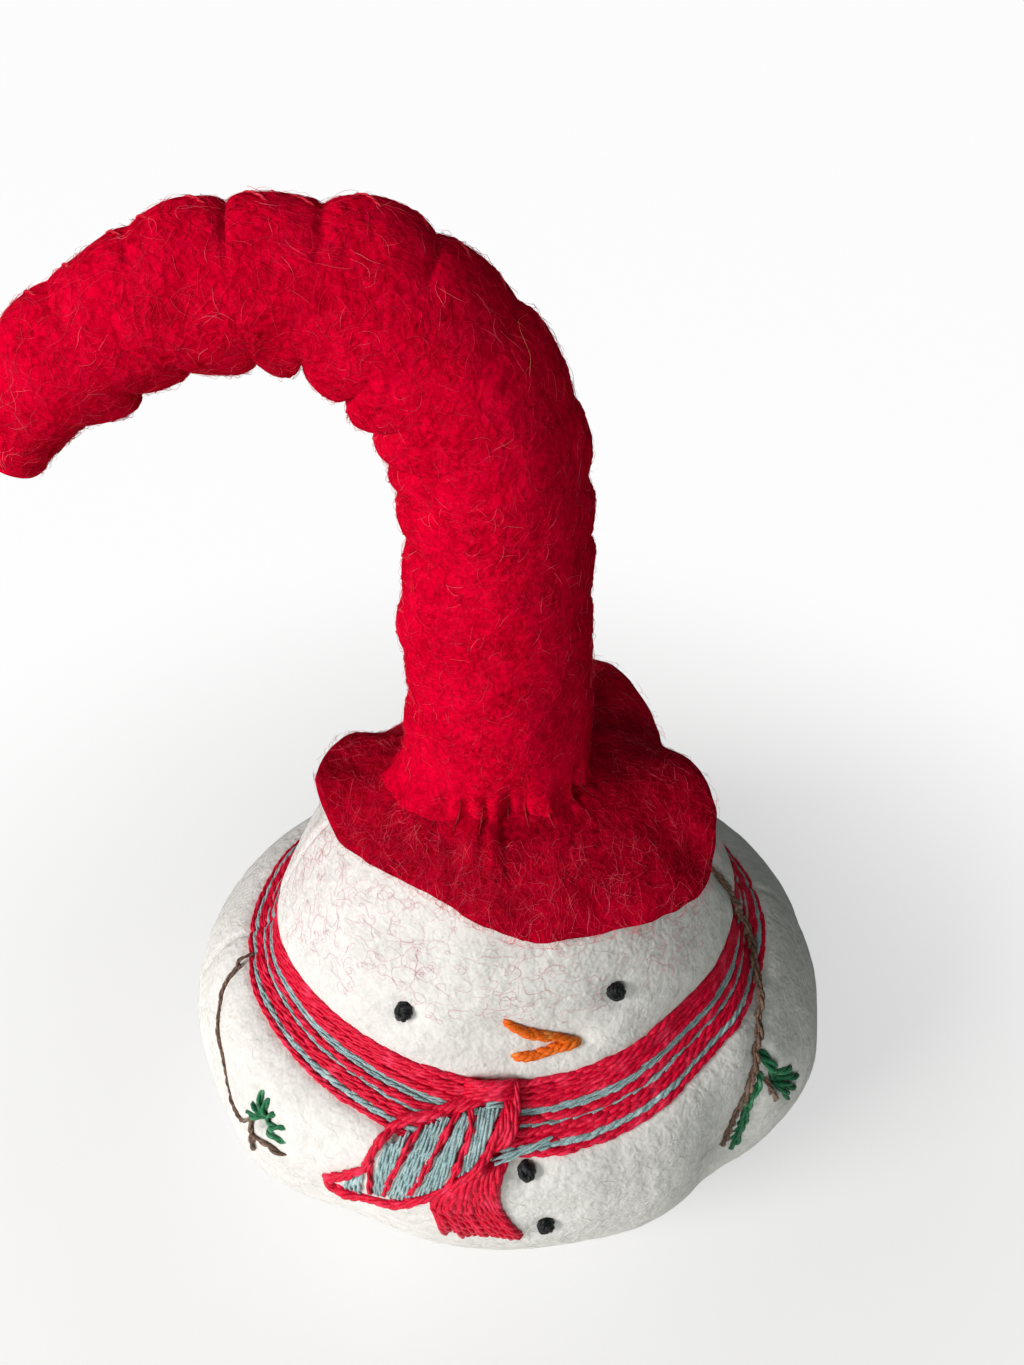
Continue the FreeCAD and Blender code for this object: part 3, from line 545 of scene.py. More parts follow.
def srgb(red, green, blue):
    """A colour as it is seen, 0 to 255, to the linear colour that a shader takes."""
    def linear(value):
        value = value / 255
        return value / 12.92 if value <= 0.04045 else ((value + 0.055) / 1.055) ** 2.4
    return (linear(red), linear(green), linear(blue), 1.0)


def felt_material(name, dark, plain, light, stray, stray_share, relief):
    """Matted wool: lumps with painted shade in their hollows, crossing fibre ridges, cloudy density,
    and stray lighter fibres.
    """
    nodes = Nodes(name)
    dark, plain, light, stray = srgb(*dark), srgb(*plain), srgb(*light), srgb(*stray)
    cloud = nodes.noise(5.0, 3.0)
    lump = nodes.noise(1.5, 2.0, 0.2)
    fibre = nodes.noise(0.55, 4.0, 0.8)
    fine = nodes.noise(0.20, 3.0, 2.4)
    patches = nodes.ramp(nodes.noise(2.6, 2.0), 0.40, 0.60)
    ridges = []
    for size in (0.9, 1.5):
        away = nodes.math("SUBTRACT", nodes.noise(size, 2.0, 2.2), 0.5)
        ridges.append(nodes.ramp(nodes.math("ABSOLUTE", away, 0.0), 0.0, 0.020, 1.0, 0.0))
    ridge = nodes.math("MAXIMUM", ridges[0], ridges[1])
    colour = nodes.mix(nodes.ramp(fibre, 0.30, 0.66), dark, plain)
    colour = nodes.mix(nodes.math("MULTIPLY", nodes.ramp(cloud, 0.35, 0.7), 0.45), colour, light)
    # Painted shade: the colour turns darker in the hollows of the lumps that the first bump below
    # raises.
    painted_pit_shade = nodes.math("MULTIPLY", nodes.ramp(lump, 0.30, 0.50, 1.0, 0.0), 0.40)
    colour = nodes.mix(painted_pit_shade, colour, dark)
    colour = nodes.mix(nodes.math("MULTIPLY", nodes.ramp(fine, 0.5, 0.8), 0.35), colour, light)
    stray_mask = nodes.math("MULTIPLY", nodes.math("MULTIPLY", ridge, patches), stray_share)
    colour = nodes.mix(stray_mask, colour, stray)
    normal = nodes.bump(lump, 0.35 + 0.4 * relief, 0.8)
    normal = nodes.bump(fibre, 0.20 * relief, 0.8, normal)
    normal = nodes.bump(fine, 0.07 * relief, 0.7, normal)
    normal = nodes.bump(ridge, 0.05 * relief, 0.6, normal)
    return nodes.finish(Base_Color=colour, Normal=normal, Roughness=1.0, Specular_IOR_Level=0.0)


def thread_material(name, dark, plain, light):
    """Stranded cotton: fine filaments with a soft shine, uneven in shade."""
    nodes = Nodes(name)
    dark, plain, light = srgb(*dark), srgb(*plain), srgb(*light)
    shade = nodes.noise(1.9, 2.0)
    filament = nodes.noise(0.16, 3.0, 0.8)
    colour = nodes.mix(nodes.ramp(filament, 0.32, 0.7), dark, plain)
    colour = nodes.mix(nodes.math("MULTIPLY", nodes.ramp(shade, 0.5, 0.75), 0.6), colour, light)
    return nodes.finish(Base_Color=colour, Normal=nodes.bump(filament, 0.05, 0.8), Roughness=0.45,
                        Specular_IOR_Level=0.22)


def fibre_material(name, plain, light, sheen=0.2):
    nodes = Nodes(name)
    share = nodes.ramp(nodes.noise(3.0, 2.0), 0.4, 0.6)
    colour = nodes.mix(share, srgb(*plain), srgb(*light))
    return nodes.finish(Base_Color=colour, Roughness=0.7, Sheen_Weight=sheen,
                        Specular_IOR_Level=0.2)


def plain_material(name, first, second, size, roughness):
    """For the parts inside: a mottled matt surface."""
    nodes = Nodes(name)
    grain = nodes.noise(size, 4.0, 0.6)
    colour = nodes.mix(nodes.ramp(grain, 0.35, 0.65), srgb(*first), srgb(*second))
    return nodes.finish(Base_Color=colour, Normal=nodes.bump(grain, 0.1, 0.6), Roughness=roughness)


white_felt = felt_material("white_felt", (205, 203, 199), (221, 219, 215), (233, 231, 228),
                           (243, 242, 240), 0.18, 0.12)
red_felt = felt_material("red_felt", (164, 0, 26), (220, 0, 44), (243, 0, 54), (248, 44, 80),
                         0.30, 1.0)
# A darker copy of the red felt for the brim: its deeper tones are painted shade, as the brim lies in
# shade.
shaded_brim_felt = felt_material("shaded_brim_felt", (118, 0, 19), (180, 0, 34), (216, 0, 46), (238, 44, 76),
                          0.30, 1.0)
red_thread = thread_material("red_thread", (176, 0, 38), (242, 8, 62), (253, 66, 106))
hat_thread = thread_material("hat_thread", (170, 0, 30), (220, 14, 50), (238, 70, 90))
# A darker copy of the red thread for the gathering stitches: painted shade, as they sit sunk in the
# dimples.
shaded_gather_thread = thread_material("shaded_gather_thread", (120, 0, 18), (168, 0, 30), (204, 4, 44))
pale_thread = thread_material("pale_thread", (116, 142, 144), (170, 200, 202), (212, 232, 232))
black_thread = thread_material("black_thread", (8, 9, 10), (26, 29, 31), (72, 78, 82))
orange_thread = thread_material("orange_thread", (206, 78, 8), (242, 122, 26), (252, 170, 84))
green_thread = thread_material("green_thread", (14, 78, 48), (40, 128, 82), (108, 180, 136))
brown_thread = thread_material("brown_thread", (70, 52, 42), (130, 102, 86), (170, 146, 130))
white_thread = thread_material("white_thread", (190, 188, 182), (226, 224, 220), (246, 246, 244))
white_fibre = fibre_material("white_fibre", (226, 223, 219), (240, 238, 235))
pink_fibre = fibre_material("pink_fibre", (214, 120, 132), (226, 160, 168), 0.0)
red_fibre = fibre_material("red_fibre", (206, 0, 42), (234, 14, 62), 0.0)
pale_red_fibre = fibre_material("pale_red_fibre", (232, 44, 78), (240, 110, 124), 0.0)
tan_fibre = fibre_material("tan_fibre", (206, 108, 52), (226, 150, 96))
filling = plain_material("fibre_filling", (216, 214, 208), (240, 239, 235), 1.2, 0.95)
card = plain_material("card", (150, 124, 92), (176, 150, 116), 0.8, 0.9)
pellets = plain_material("pellets", (196, 194, 186), (226, 225, 220), 2.2, 0.8)
threads = {"red": (red_thread, "red_thread"), "pale": (pale_thread, "pale_thread")}


# ================= white body =================

def make_body():
    """The two panels as one closed skin, sewn at the sides, lumpy and pulled in by its stitches."""
    columns, rows = 384, 236
    hem = 0.6
    inside_base = np.array([0.0, 0.0, 0.9])
    distance = np.linspace(hem, felt_length, rows)[:, None]
    skin = felt_place(*np.broadcast_arrays(distance, full_turn(columns)))
    inside_top = np.array([0.0, 0.0, skin[-1, :, 2].mean() - 0.3])
    points = closed_skin(skin, inside_base, (0.02, 0.5, 0.93), inside_top, (0.6, 0.02))
    piece = add_skin("body_felt", points, white_felt, "white_felt")
    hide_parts("front_panel", "back_panel")


def make_base():
    """The felt round under the body: flat, a little uneven, with a soft cut edge."""
    columns = 200
    floor_gap = 0.1
    bearing = np.linspace(0, 360, columns, endpoint=False)
    edge = body_point(1.5, bearing, -0.2)
    foot = body_point(0.4, bearing, -0.3)
    rings = []
    for share in (0.01, 0.35, 0.7, 0.93):
        ring = foot * share
        ring[:, 2] = 0.12 + 0.10 * noise(ring, 6.0, 8) * (1 - share)
        rings.append(ring)
    inner = edge * [0.9, 0.9, 1] + [0, 0, floor_gap]
    rings += [foot * [1, 1, 0] + [0, 0, floor_gap], edge, inner, inner * [0.01, 0.01, 1]]
    piece = add_skin("base_felt", np.stack(rings), white_felt, "white_felt")
    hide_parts("base_disc")


# ================= threads on the body =================

def over_scarf(distance, bearing):
    """1 where a thread lies over the scarf's rows, 0 off them."""
    upper, lower = scarf_edges(bearing)
    above = 1 - smooth_step(distance, upper + 0.5, upper + 1.6)
    return above * smooth_step(distance, lower - 1.6, lower - 0.4)


def lay_threads(far, turn, width, plies=3, stand=0.85, twist=4.0, sides=6, over=0.0):
    """Threads over the white felt, whose ends dip into it.

    far and turn are (threads, stops), width is their thickness, stand is the share of the radius
    by which the middle lies over the felt, over is what they rise where they cross the scarf.
    """
    sag, fray = 0.3, 0.12
    share = np.linspace(0, 1, far.shape[1])[None, :]
    arch = np.sin(np.pi * share) ** 0.5
    taper = 0.72 + 0.28 * np.sin(np.pi * share) ** 0.4
    radius = np.broadcast_to(np.asarray(width, float) / 2, far.shape)
    lift = radius * (stand * arch - sag * (1 - arch)) + over * over_scarf(far, turn)
    return plied_mesh(felt_place(far, turn, lift), felt_up(far, turn), radius * taper, plies, twist,
                      sides, fray)


def run_of_stitches(places, width, length=4.4, step=2.3, slant=0.5, closed=False, stops=11, **how):
    """Overlapping slanted stitches (stem stitch) along a fine row of places on the felt."""
    places = np.asarray(places, float)
    points = felt_place(places[:, 0], places[:, 1])
    run = np.concatenate([[0], np.cumsum(np.linalg.norm(np.diff(points, axis=0), axis=1))])
    total = run[-1]
    if closed:
        count = max(1, int(round(total / step)))
        gap = total / count
    else:
        count = max(1, int(round((total - length) / step)) + 1)
        gap = (total - length) / max(count - 1, 1)
    starts = np.arange(count) * gap + rng.normal(0, 0.10 * step, count)
    if not closed:
        starts = np.clip(starts, 0, max(total - length, 0))
    size = length * (1 + rng.normal(0, 0.05, count))
    share = np.linspace(0, 1, stops)
    along = starts[:, None] + np.minimum(size, total)[:, None] * share[None, :]
    along = along % total if closed else np.clip(along, 0, total)
    far = np.interp(along, run, places[:, 0])
    turn = np.interp(along, run, np.unwrap(places[:, 1], period=360))
    heading = np.gradient(far, axis=1), np.radians(np.gradient(turn, axis=1)) * around_radius(far)
    pace = np.maximum(np.hypot(*heading), 1e-6)
    if np.ndim(width) == 0:
        thick = np.full(count, float(width))
    else:
        thick = np.interp(starts % total, run, width)
    across = (share[None, :] - 0.5) * slant * thick[:, None] + rng.normal(0, 0.05, (count, 1))
    far = far - across * heading[1] / pace
    turn = turn + np.degrees(across * heading[0] / pace / around_radius(far))
    grown = thick[:, None] * (1 + 0.1 * rng.normal(0, 1, (count, 1)))
    return lay_threads(far, turn, grown, **how)


def stitched(paths, stops, width, **how):
    """A run of stitches along each of some paths, given as a few places each."""
    return join_meshes([run_of_stitches(path_places(path, stops), width, **how) for path in paths])


def make_scarf_rows():
    """Each row is a few lines of stem stitch side by side, right round the body."""
    fullness = {"red": 1.12, "pale": 0.96}
    bearing = np.linspace(0, 360, 721)
    upper, lower = scarf_edges(bearing)
    start = 0.0
    for name, share, count, colour in scarf_rows:
        parts = []
        for line in range(count):
            middle = start + share * (line + 0.5) / count
            wave = 0.10 * noise(np.stack([bearing * 0.45, 0 * bearing + 9 * line + 50 * start,
                                          0 * bearing], axis=-1), 6.0, 3)
            far = upper + (lower - upper) * middle + wave
            width = (upper - lower) * share / count * fullness[colour]
            parts.append(run_of_stitches(np.stack([far, bearing], axis=1), width, closed=True,
                                         length=4.2 + 0.5 * line, step=2.2, stops=10, sides=5,
                                         stand=0.62, slant=0.55))
        material, slot = threads[colour]
        piece = add_mesh(name + "_threads", *join_meshes(parts), material, slot)
        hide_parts(name)
        start += share


def spot_frame(place):
    """Point on the felt with its outward, sideways and upward directions."""
    far, turn = np.array(place[0]), np.array(place[1])
    up = felt_up(far, turn)
    side = unit(np.cross([0.0, 0.0, 1.0], up))
    return felt_place(far, turn), up, side, np.cross(up, side)


def make_knot(name, place, material, slot, tilt):
    """A French knot: plied thread wound twice and drawn down through its own middle."""
    point, up, side, over = spot_frame(place)
    stops, winds = 58, 2.3
    knot_radius, knot_height, thread_radius, end_radius = 0.62, 0.62, 0.40, 0.12
    share = np.linspace(0, 1, stops)
    angle = tilt + share * TURN * winds
    radius = knot_radius - 0.20 * share - 0.42 * smooth_step(share, 0.86, 1.0)
    height = (0.12 + knot_height * smooth_step(share, 0.1, 0.8)
              - 0.25 * smooth_step(share, 0.88, 1.0))
    squash_x, squash_y = 0.95, 1.12
    line = (point + side * (np.cos(angle) * radius * squash_x)[:, None]
            + over * (np.sin(angle) * radius * squash_y)[:, None] + up * height[:, None])
    thick = np.full((1, stops), thread_radius)
    thick[0, [0, -1]] = end_radius
    mesh = plied_mesh(line[None], np.broadcast_to(up, (1, stops, 3)), thick, 3, 1.5, 7, 0.1)
    piece = add_mesh(name + "_wraps", *mesh, material, slot)
    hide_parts(name)


def straight_stitches(pairs, width, stops=12, **how):
    """Single straight stitches between pairs of places."""
    share = np.linspace(0, 1, stops)
    far = np.array([a[0] + (b[0] - a[0]) * share for a, b in pairs])
    turn = np.array([a[1] + (b[1] - a[1]) * share for a, b in pairs])
    return lay_threads(far, turn, np.full(far.shape, width), **how)


def make_face():
    spots = (("left_eye", left_eye, 0.4), ("right_eye", right_eye, 2.1),
             ("upper_button", upper_button, 1.2), ("lower_button", lower_button, 3.4))
    for name, place, tilt in spots:
        make_knot(name + "_knot", place, black_thread, "black_thread", tilt)
    nose = stitched([[start, nose_tip] for start in nose_starts], 24, 0.86, length=3.0, step=1.5,
                    twist=2.6, sides=8, stand=0.9)
    piece = add_mesh("nose_threads", *nose, orange_thread, "orange_thread")
    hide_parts("nose_stitches")


def make_arms():
    for name, path, width in (("left_arm", left_arm_path, 0.46), ("right_arm", right_arm_path, 0.70)):
        mesh = stitched([path], 120, width, length=3.6, step=2.0, slant=0.6, plies=2, stand=1.0,
                        twist=2.6, over=row_height)
        piece = add_mesh(name + "_threads", *mesh, brown_thread, "brown_thread")
        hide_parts(name)
    for name, paths in (("left_hand_twigs", left_twig_paths), ("right_hand_twigs", right_twig_paths)):
        mesh = stitched(paths, 24, 0.62, length=2.8, step=1.6, plies=2)
        piece = add_mesh(name + "_threads", *mesh, brown_thread, "brown_thread")
        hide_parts(name)


def make_sprigs():
    left = straight_stitches([(left_needle_root, tip) for tip in left_needle_tips], 0.72, plies=2)
    right = straight_stitches(right_needles, 0.86, plies=2)
    garland = stitched([right_garland], 60, 0.78, length=3.2, step=1.6, plies=2)
    piece = add_mesh("left_fir_sprig_threads", *left, green_thread, "green_thread")
    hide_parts("left_fir_sprig")
    piece = add_mesh("right_fir_sprig_threads", *join_meshes([right, garland]), green_thread,
                     "green_thread")
    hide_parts("right_fir_sprig")


def satin(left, right, count, width, length, **how):
    """Long stitches side by side that fill the felt between two edges, in staggered lengths."""
    left, right = path_places(left, 60), path_places(right, 60)
    lines = [left + (right - left) * ((i + 0.5) / count) for i in range(count)]
    return join_meshes([run_of_stitches(line, width, length=length, step=length / 2, **how)
                        for line in lines])


def side_by_side(left, right, count, width, **how):
    """Straight stitches that fill the felt between two lines, each from end to end."""
    left, right = np.array(left), np.array(right)
    share = (np.arange(count) + 0.5) / count
    return straight_stitches([left + (right - left) * part for part in share], width, **how)


def make_tails():
    """The front tail's pale bars, red lines and outline, and the red back tail."""
    bars = [side_by_side(left, right, count, 0.56, plies=2, stand=0.7, over=row_height)
            for left, right, count in pale_bars]
    bars.append(straight_stitches(pale_stitches, 0.5, plies=2, stand=0.9, over=row_height))
    piece = add_mesh("front_tail_pale_bar_threads", *join_meshes(bars), pale_thread, "pale_thread")
    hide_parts("front_tail_pale_bars")
    slants = stitched(tail_lines, 40, 0.60, length=3.4, step=1.9, plies=2, stand=1.3, over=row_height)
    piece = add_mesh("front_tail_red_line_threads", *slants, red_thread, "red_thread")
    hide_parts("front_tail_red_lines")
    edges = stitched([front_tail_lower, front_tail_upper], 101, 0.80, length=3.6, step=1.7, stand=1.1,
                     over=row_height)
    piece = add_mesh("front_tail_outline_threads", *edges, red_thread, "red_thread")
    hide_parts("front_tail_outline")
    fill = satin(back_tail_left, back_tail_right, 14, 0.86, 6.0, stand=0.6, slant=0.1)
    piece = add_mesh("back_tail_threads", *fill, red_thread, "red_thread")
    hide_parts("back_tail")


def make_scarf_knot():
    """Satin stitches over the rows where the tails leave them, and the long stitches below."""
    top = side_by_side(knot_top, knot_bottom, 4, 0.80, stops=16, stand=1.7, over=row_height)
    fan = straight_stitches(knot_fan, 0.7, stops=14, stand=1.2, over=row_height)
    drops = stitched(knot_drops, 40, 0.72, length=3.6, step=1.8, stand=1.2, over=row_height)
    piece = add_mesh("scarf_knot_threads", *join_meshes([top, fan, drops]), red_thread, "red_thread")
    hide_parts("scarf_knot")


# ================= hat brim =================

def rim_at(bearing):
    """The brim's radius at a bearing, and the gap between its rim and the head there."""
    cut = sum(share * bump_at(bearing, middle, wide, 2) for middle, wide, share in brim_cuts)
    lift = sum(rise * bump_at(bearing, middle, wide, 4) for middle, wide, rise in brim_ruffles)
    for middle, wide, rise, reach in rim_curls:
        cut = cut + reach * bump_at(bearing, middle, wide, 2)
        lift = lift + rise * bump_at(bearing, middle, wide, 2)
    return brim_radius * (1 + cut), rim_gap + lift


crown_foot = crown_half_widths[0][1]   # the crown's half-width where it meets the brim


def head_top(x, y):
    """Height of the head's surface, as if it had no hole."""
    left_over = head_radius ** 2 - x ** 2 - (y / body_depth_share) ** 2
    return head_height + np.sqrt(np.maximum(left_over, 0))


def brim_under(radius, bearing):
    """Point on the brim's plain underside."""
    rim, gap = rim_at(bearing)
    x = radius * np.sin(np.radians(bearing))
    y = -radius * np.cos(np.radians(bearing))
    outward = np.maximum(radius - crown_foot, 0) / (rim - crown_foot)
    return np.stack([x, y, head_top(x, y) + brim_seat + gap * outward ** 2], axis=-1)


def brim_point(radius, bearing, lift):
    """Point at a height over the brim's underside, square to it."""
    step = 0.1
    out = brim_under(radius + step, bearing) - brim_under(radius - step, bearing)
    turn = np.degrees(step / radius)
    round_way = brim_under(radius, bearing + turn) - brim_under(radius, bearing - turn)
    return brim_under(radius, bearing) + unit(np.cross(out, round_way)) * lift[..., None]


gather_turns = 360 * (np.arange(gather_count) + 0.5) / gather_count
gather_turns = gather_turns + rng.normal(0, 2.2, gather_count)
gather_depths = 0.15 + 1.05 * rng.random(gather_count) ** 2


def puckers(x, y, height):
    """Lumps where crown and brim are drawn together, with a dimple at each gathering stitch."""
    gather_radius, dimple_spread = 9.0, 3.6
    turn = np.degrees(np.arctan2(y, x))
    ring = np.stack([gather_radius * np.cos(np.radians(turn)),
                     gather_radius * np.sin(np.radians(turn)), height], axis=-1)
    lumps = lumps_of(ring, gather_lumps)
    for place, depth in zip(gather_turns, gather_depths):
        lumps = lumps - depth * bump_at(turn, place, dimple_spread, 2)
    return lumps


def brim_unevenness(radius, bearing):
    """Small waves of the cut felt, and the lumps beside the gathering stitches.

    It never goes so low that the head would show through the felt.
    """
    lowest = -0.3
    points = brim_under(radius, bearing)
    near = hill(np.maximum(radius - crown_foot - 0.8, 0), 1.6)
    pucker = puckers(points[..., 0] - crown_lean, points[..., 1], 0 * radius)
    return np.maximum(lumps_of(points, brim_waves) + 0.7 * pucker * near, lowest)


def brim_surface(radius, bearing, lift):
    return brim_point(radius, bearing, lift + brim_unevenness(radius, bearing))


def make_brim():
    """The brim as one closed sheet of felt with a rounded, slightly ragged rim."""
    columns, rows = 480, 40
    edge = 0.42
    bearing = full_turn(columns)
    ragged = 0.09 * noise(np.stack([bearing / 3, 0 * bearing, 0 * bearing], axis=-1), 1.2, 24)
    rim = rim_at(bearing)[0] + ragged
    reach = brim_hole + (rim - edge - brim_hole) * np.linspace(0, 1, rows)[:, None]
    turns = np.broadcast_to(bearing, reach.shape)
    over = brim_surface(reach, turns, np.full(reach.shape, hat_felt))
    under = brim_surface(reach, turns, np.full(reach.shape, 0.02))
    rounding = []
    for angle in np.radians([60, 30, 0, -30, -60]):
        radius = rim - edge + edge * math.cos(angle)
        lift = hat_felt / 2 + hat_felt / 2 * math.sin(angle) + 0 * radius
        rounding.append(brim_surface(radius, bearing, lift))
    points = np.concatenate([over] + rounding + [under[::-1]])
    piece = add_skin("hat_brim_felt", points, shaded_brim_felt, "red_felt", ring=True)
    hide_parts("hat_brim")


# ================= hat crown =================

crown_start = -1.5         # where the crown's skin begins, inside the brim's felt
crook_length = crook_radius * math.radians(crook_angle)
tip_length = tip_radius * math.radians(tip_angle)
spine_length = crown_rise + crook_length + tip_length
dome_radius = head_radius + brim_seat + hat_felt
crown_low = head_height + math.sqrt(dome_radius ** 2 - crown_foot ** 2)


def spine(distance):
    """Points on the crown's spine, and the directions outward of the bend and along it."""
    distance = np.asarray(distance, float)
    bend = np.clip((distance - crown_rise) / crook_radius, 0, math.radians(crook_angle))
    more = np.maximum(distance - crown_rise - crook_length, 0) / tip_radius
    x = crown_lean - crook_radius + crook_radius * np.cos(bend)
    z = crown_low + np.minimum(distance, crown_rise) + crook_radius * np.sin(bend)
    x = x + tip_radius * (np.cos(bend + more) - np.cos(bend))
    z = z + tip_radius * (np.sin(bend + more) - np.sin(bend))
    zero = 0 * x
    point = np.stack([x, zero, z], axis=-1)
    outward = np.stack([np.cos(bend + more), zero, np.sin(bend + more)], axis=-1)
    along = np.stack([-np.sin(bend + more), zero, np.cos(bend + more)], axis=-1)
    return point, outward, along


def crown_half_width(distance):
    width = between(crown_half_widths, distance / spine_length)
    past = np.clip((distance - (spine_length - tip_round)) / tip_round, 0, 1)
    return width * (tip_blunt + (1 - tip_blunt) * np.sqrt(np.maximum(1 - past * past, 0)))


whips = np.linspace(first_whip, spine_length - tip_round / 2,
                    int(math.ceil((spine_length - tip_round / 2 - first_whip) / whip_pitch)) + 1)
notches = (whips[:-1:2] + whips[1::2][:len(whips[:-1:2])]) / 2
notch_shift = {side: rng.normal(0, 0.35, len(notches)) for side in (1, -1)}
notch_depth = {side: 1 + rng.normal(0, 0.28, len(notches)) for side in (1, -1)}


def ruffle(distance, side):
    """Scallops of a seam, from -1 in a notch to 1 on a bump, with uneven spacing and height."""
    places = notches + notch_shift[side]
    depth = notch_depth[side]
    i = np.clip(np.searchsorted(places, distance), 1, len(places) - 1)
    share = (distance - places[i - 1]) / (places[i] - places[i - 1])
    inside = np.clip(share, 0, 1)
    height = (depth[i] + depth[i - 1]) / 2
    return (2 * np.sin(np.pi * inside) ** 0.6 - 1) * height


def crown_swell(distance, turn):
    """How far the red felt stands off its plain form: lumps, scallops, creases and the seam's lip."""
    lip_spread, crease_away, crease_spread, crease_share = 34.0, 28.0, 26.0, 0.35
    base = crown_point(distance, turn)
    swell = lumps_of(base, crown_lumps)
    bent = smooth_step(distance, 0.62 * crown_rise, 0.95 * crown_rise)
    to_tip = 1 - 0.5 * smooth_step(distance, spine_length - 3 * tip_round, spine_length)
    for side, centre, rest, more in scallops:
        away = np.abs(swing(turn, centre))
        amount = rest + more * bent * to_tip
        wave = ruffle(distance, side) - 0.5
        crease = np.maximum(-wave, 0) ** 2
        swell = swell + amount * wave * hill(away, lip_spread)
        swell = swell - crease_share * amount * crease * hill(away - crease_away, crease_spread)
    swell = swell * (1 - 0.6 * smooth_step(distance, spine_length - 1.5, spine_length))
    above = np.maximum(distance, crown_start) - crown_start
    uneven = 1.5 * noise(base * [1, 1, 0.2], 4.0, 35)
    bulge_turn, bulge_spread, bulge = foot_bulge
    flare = foot_flare + bulge * bump_at(turn, bulge_turn, bulge_spread, 2) + uneven
    pucker = puckers(base[..., 0] - crown_lean, base[..., 1], 0.35 * np.maximum(distance, 0))
    low = hill(np.maximum(distance - 0.8, 0), 1.7)
    return swell + flare * np.exp(-above / 2.1) + pucker * low


def crown_point(distance, turn, lift=0.0):
    """Point on the crown's plain form; turn is 0 outside the bend, 180 inside it."""
    centre, outward, _ = spine(distance)
    across = np.cos(np.radians(turn))
    along = np.sin(np.radians(turn))
    size = np.abs(across) ** crown_squareness + np.abs(along) ** crown_squareness
    size = size ** (-1 / crown_squareness)
    width = crown_half_width(distance)
    sideways = np.array([0.0, 1.0, 0.0])
    return (centre + outward * (across * size * (width + lift))[..., None]
            + sideways * (along * size * (width * crown_depth_share + lift))[..., None])


def crown_place(distance, turn, lift=0.0):
    return crown_point(distance, turn, crown_swell(distance, turn) + lift)


def crown_up(distance, turn):
    return unit(crown_point(distance, turn, 0.5) - crown_point(distance, turn, -0.5))


def make_crown():
    """The two crown panels as one skin with its raised, whip-stitched seams."""
    columns, rows = 220, 400
    distance = np.linspace(crown_start, spine_length, rows)[:, None]
    skin = crown_place(*np.broadcast_arrays(distance, full_turn(columns)))
    onward = spine(spine_length)[2]
    end = skin[-1].mean(axis=0) + onward * 0.5
    foot = skin[0].mean(axis=0)
    cap = np.stack([end + (skin[-1] - end) * 0.55 + onward * 0.1, end + (skin[-1] - end) * 0.02])
    low = np.stack([foot + (skin[0] - foot) * 0.02, foot + (skin[0] - foot) * 0.6])
    points = np.concatenate([low, skin, cap])
    piece = add_skin("crown_felt", points, red_felt, "red_felt")
    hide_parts("crown_front_panel", "crown_back_panel")


def make_whips():
    """Short slanted stitches over the lips of the crown's two seams."""
    thread_radius = 0.15
    for name, centre in (("crown_outer_seam_stitches", 0.0), ("crown_inner_seam_stitches", 180.0)):
        places = whips + rng.normal(0, 0.25, len(whips))
        share = np.linspace(-1, 1, 17)[None, :]
        reach = 12.0 + 7.0 * rng.random((len(whips), 1))
        slant = 0.5 + 0.5 * rng.random((len(whips), 1))
        far = places[:, None] + share * slant
        turn = centre + share * reach
        arch = 1 - np.abs(share) ** 4
        lift = -0.02 * arch - 0.34 * (1 - arch) + 0 * far
        radius = thread_radius * (0.7 + 0.3 * arch) + 0 * far
        mesh = plied_mesh(crown_place(far, turn, lift), crown_up(far, turn), radius, 2, 1.5, 6, 0.1)
        piece = add_mesh(name.replace("_stitches", "_threads"), *mesh, hat_thread, "red_thread")
        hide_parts(name)


def make_gathers():
    """Small stitches sunk in the dimples between crown and brim."""
    sunk, thread_radius = 0.62, 0.13
    high = crown_place(np.full(gather_count, 1.5), gather_turns, -0.05)
    from_axis = np.hypot(high[:, 0], high[:, 1])
    bearing = np.degrees(np.arctan2(high[:, 0], -high[:, 1]))
    low = brim_surface(from_axis + 1.3, bearing, np.full(gather_count, hat_felt - 0.05))
    outward = (high - [crown_lean, 0, 0]) * [1, 1, 0] / from_axis[:, None]
    out = unit(outward + [0, 0, 0.7])[:, None, :]
    share = np.linspace(0, 1, 9)[None, :, None]
    lines = high[:, None] + (low - high)[:, None] * share - out * sunk * np.sin(np.pi * share)
    thick = np.full(lines.shape[:2], thread_radius)
    mesh = plied_mesh(lines, np.broadcast_to(out, lines.shape), thick, 2, 1.2, 5)
    piece = add_mesh("crown_gather_threads", *mesh, shaded_gather_thread, "red_thread")
    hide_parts("crown_gathers")


# ================= fibres =================

def wander(starts, step, stops, curl):
    """Curly paths over a surface's two coordinates, in millimetres, as (fibres, stops, 2)."""
    count = len(starts)
    heading = rng.random(count) * TURN
    bend = rng.normal(0, curl, count)
    paths = [starts]
    for _ in range(stops - 1):
        bend = 0.75 * bend + rng.normal(0, curl, count)
        heading = heading + bend * step
        paths.append(paths[-1] + step * np.stack([np.cos(heading), np.sin(heading)], axis=1))
    return np.stack(paths, axis=1)


def loose_lift(count, stops, most):
    """A fibre's height over its felt: it leaves the felt and mostly comes back to it."""
    share = np.linspace(0, 1, stops)[None, :]
    rise = most * rng.random((count, 1)) ** 2
    turns = share * TURN * (0.5 + rng.random((count, 1))) + rng.random((count, 1)) * TURN
    return 0.01 + rise * (0.5 + 0.5 * np.sin(turns))


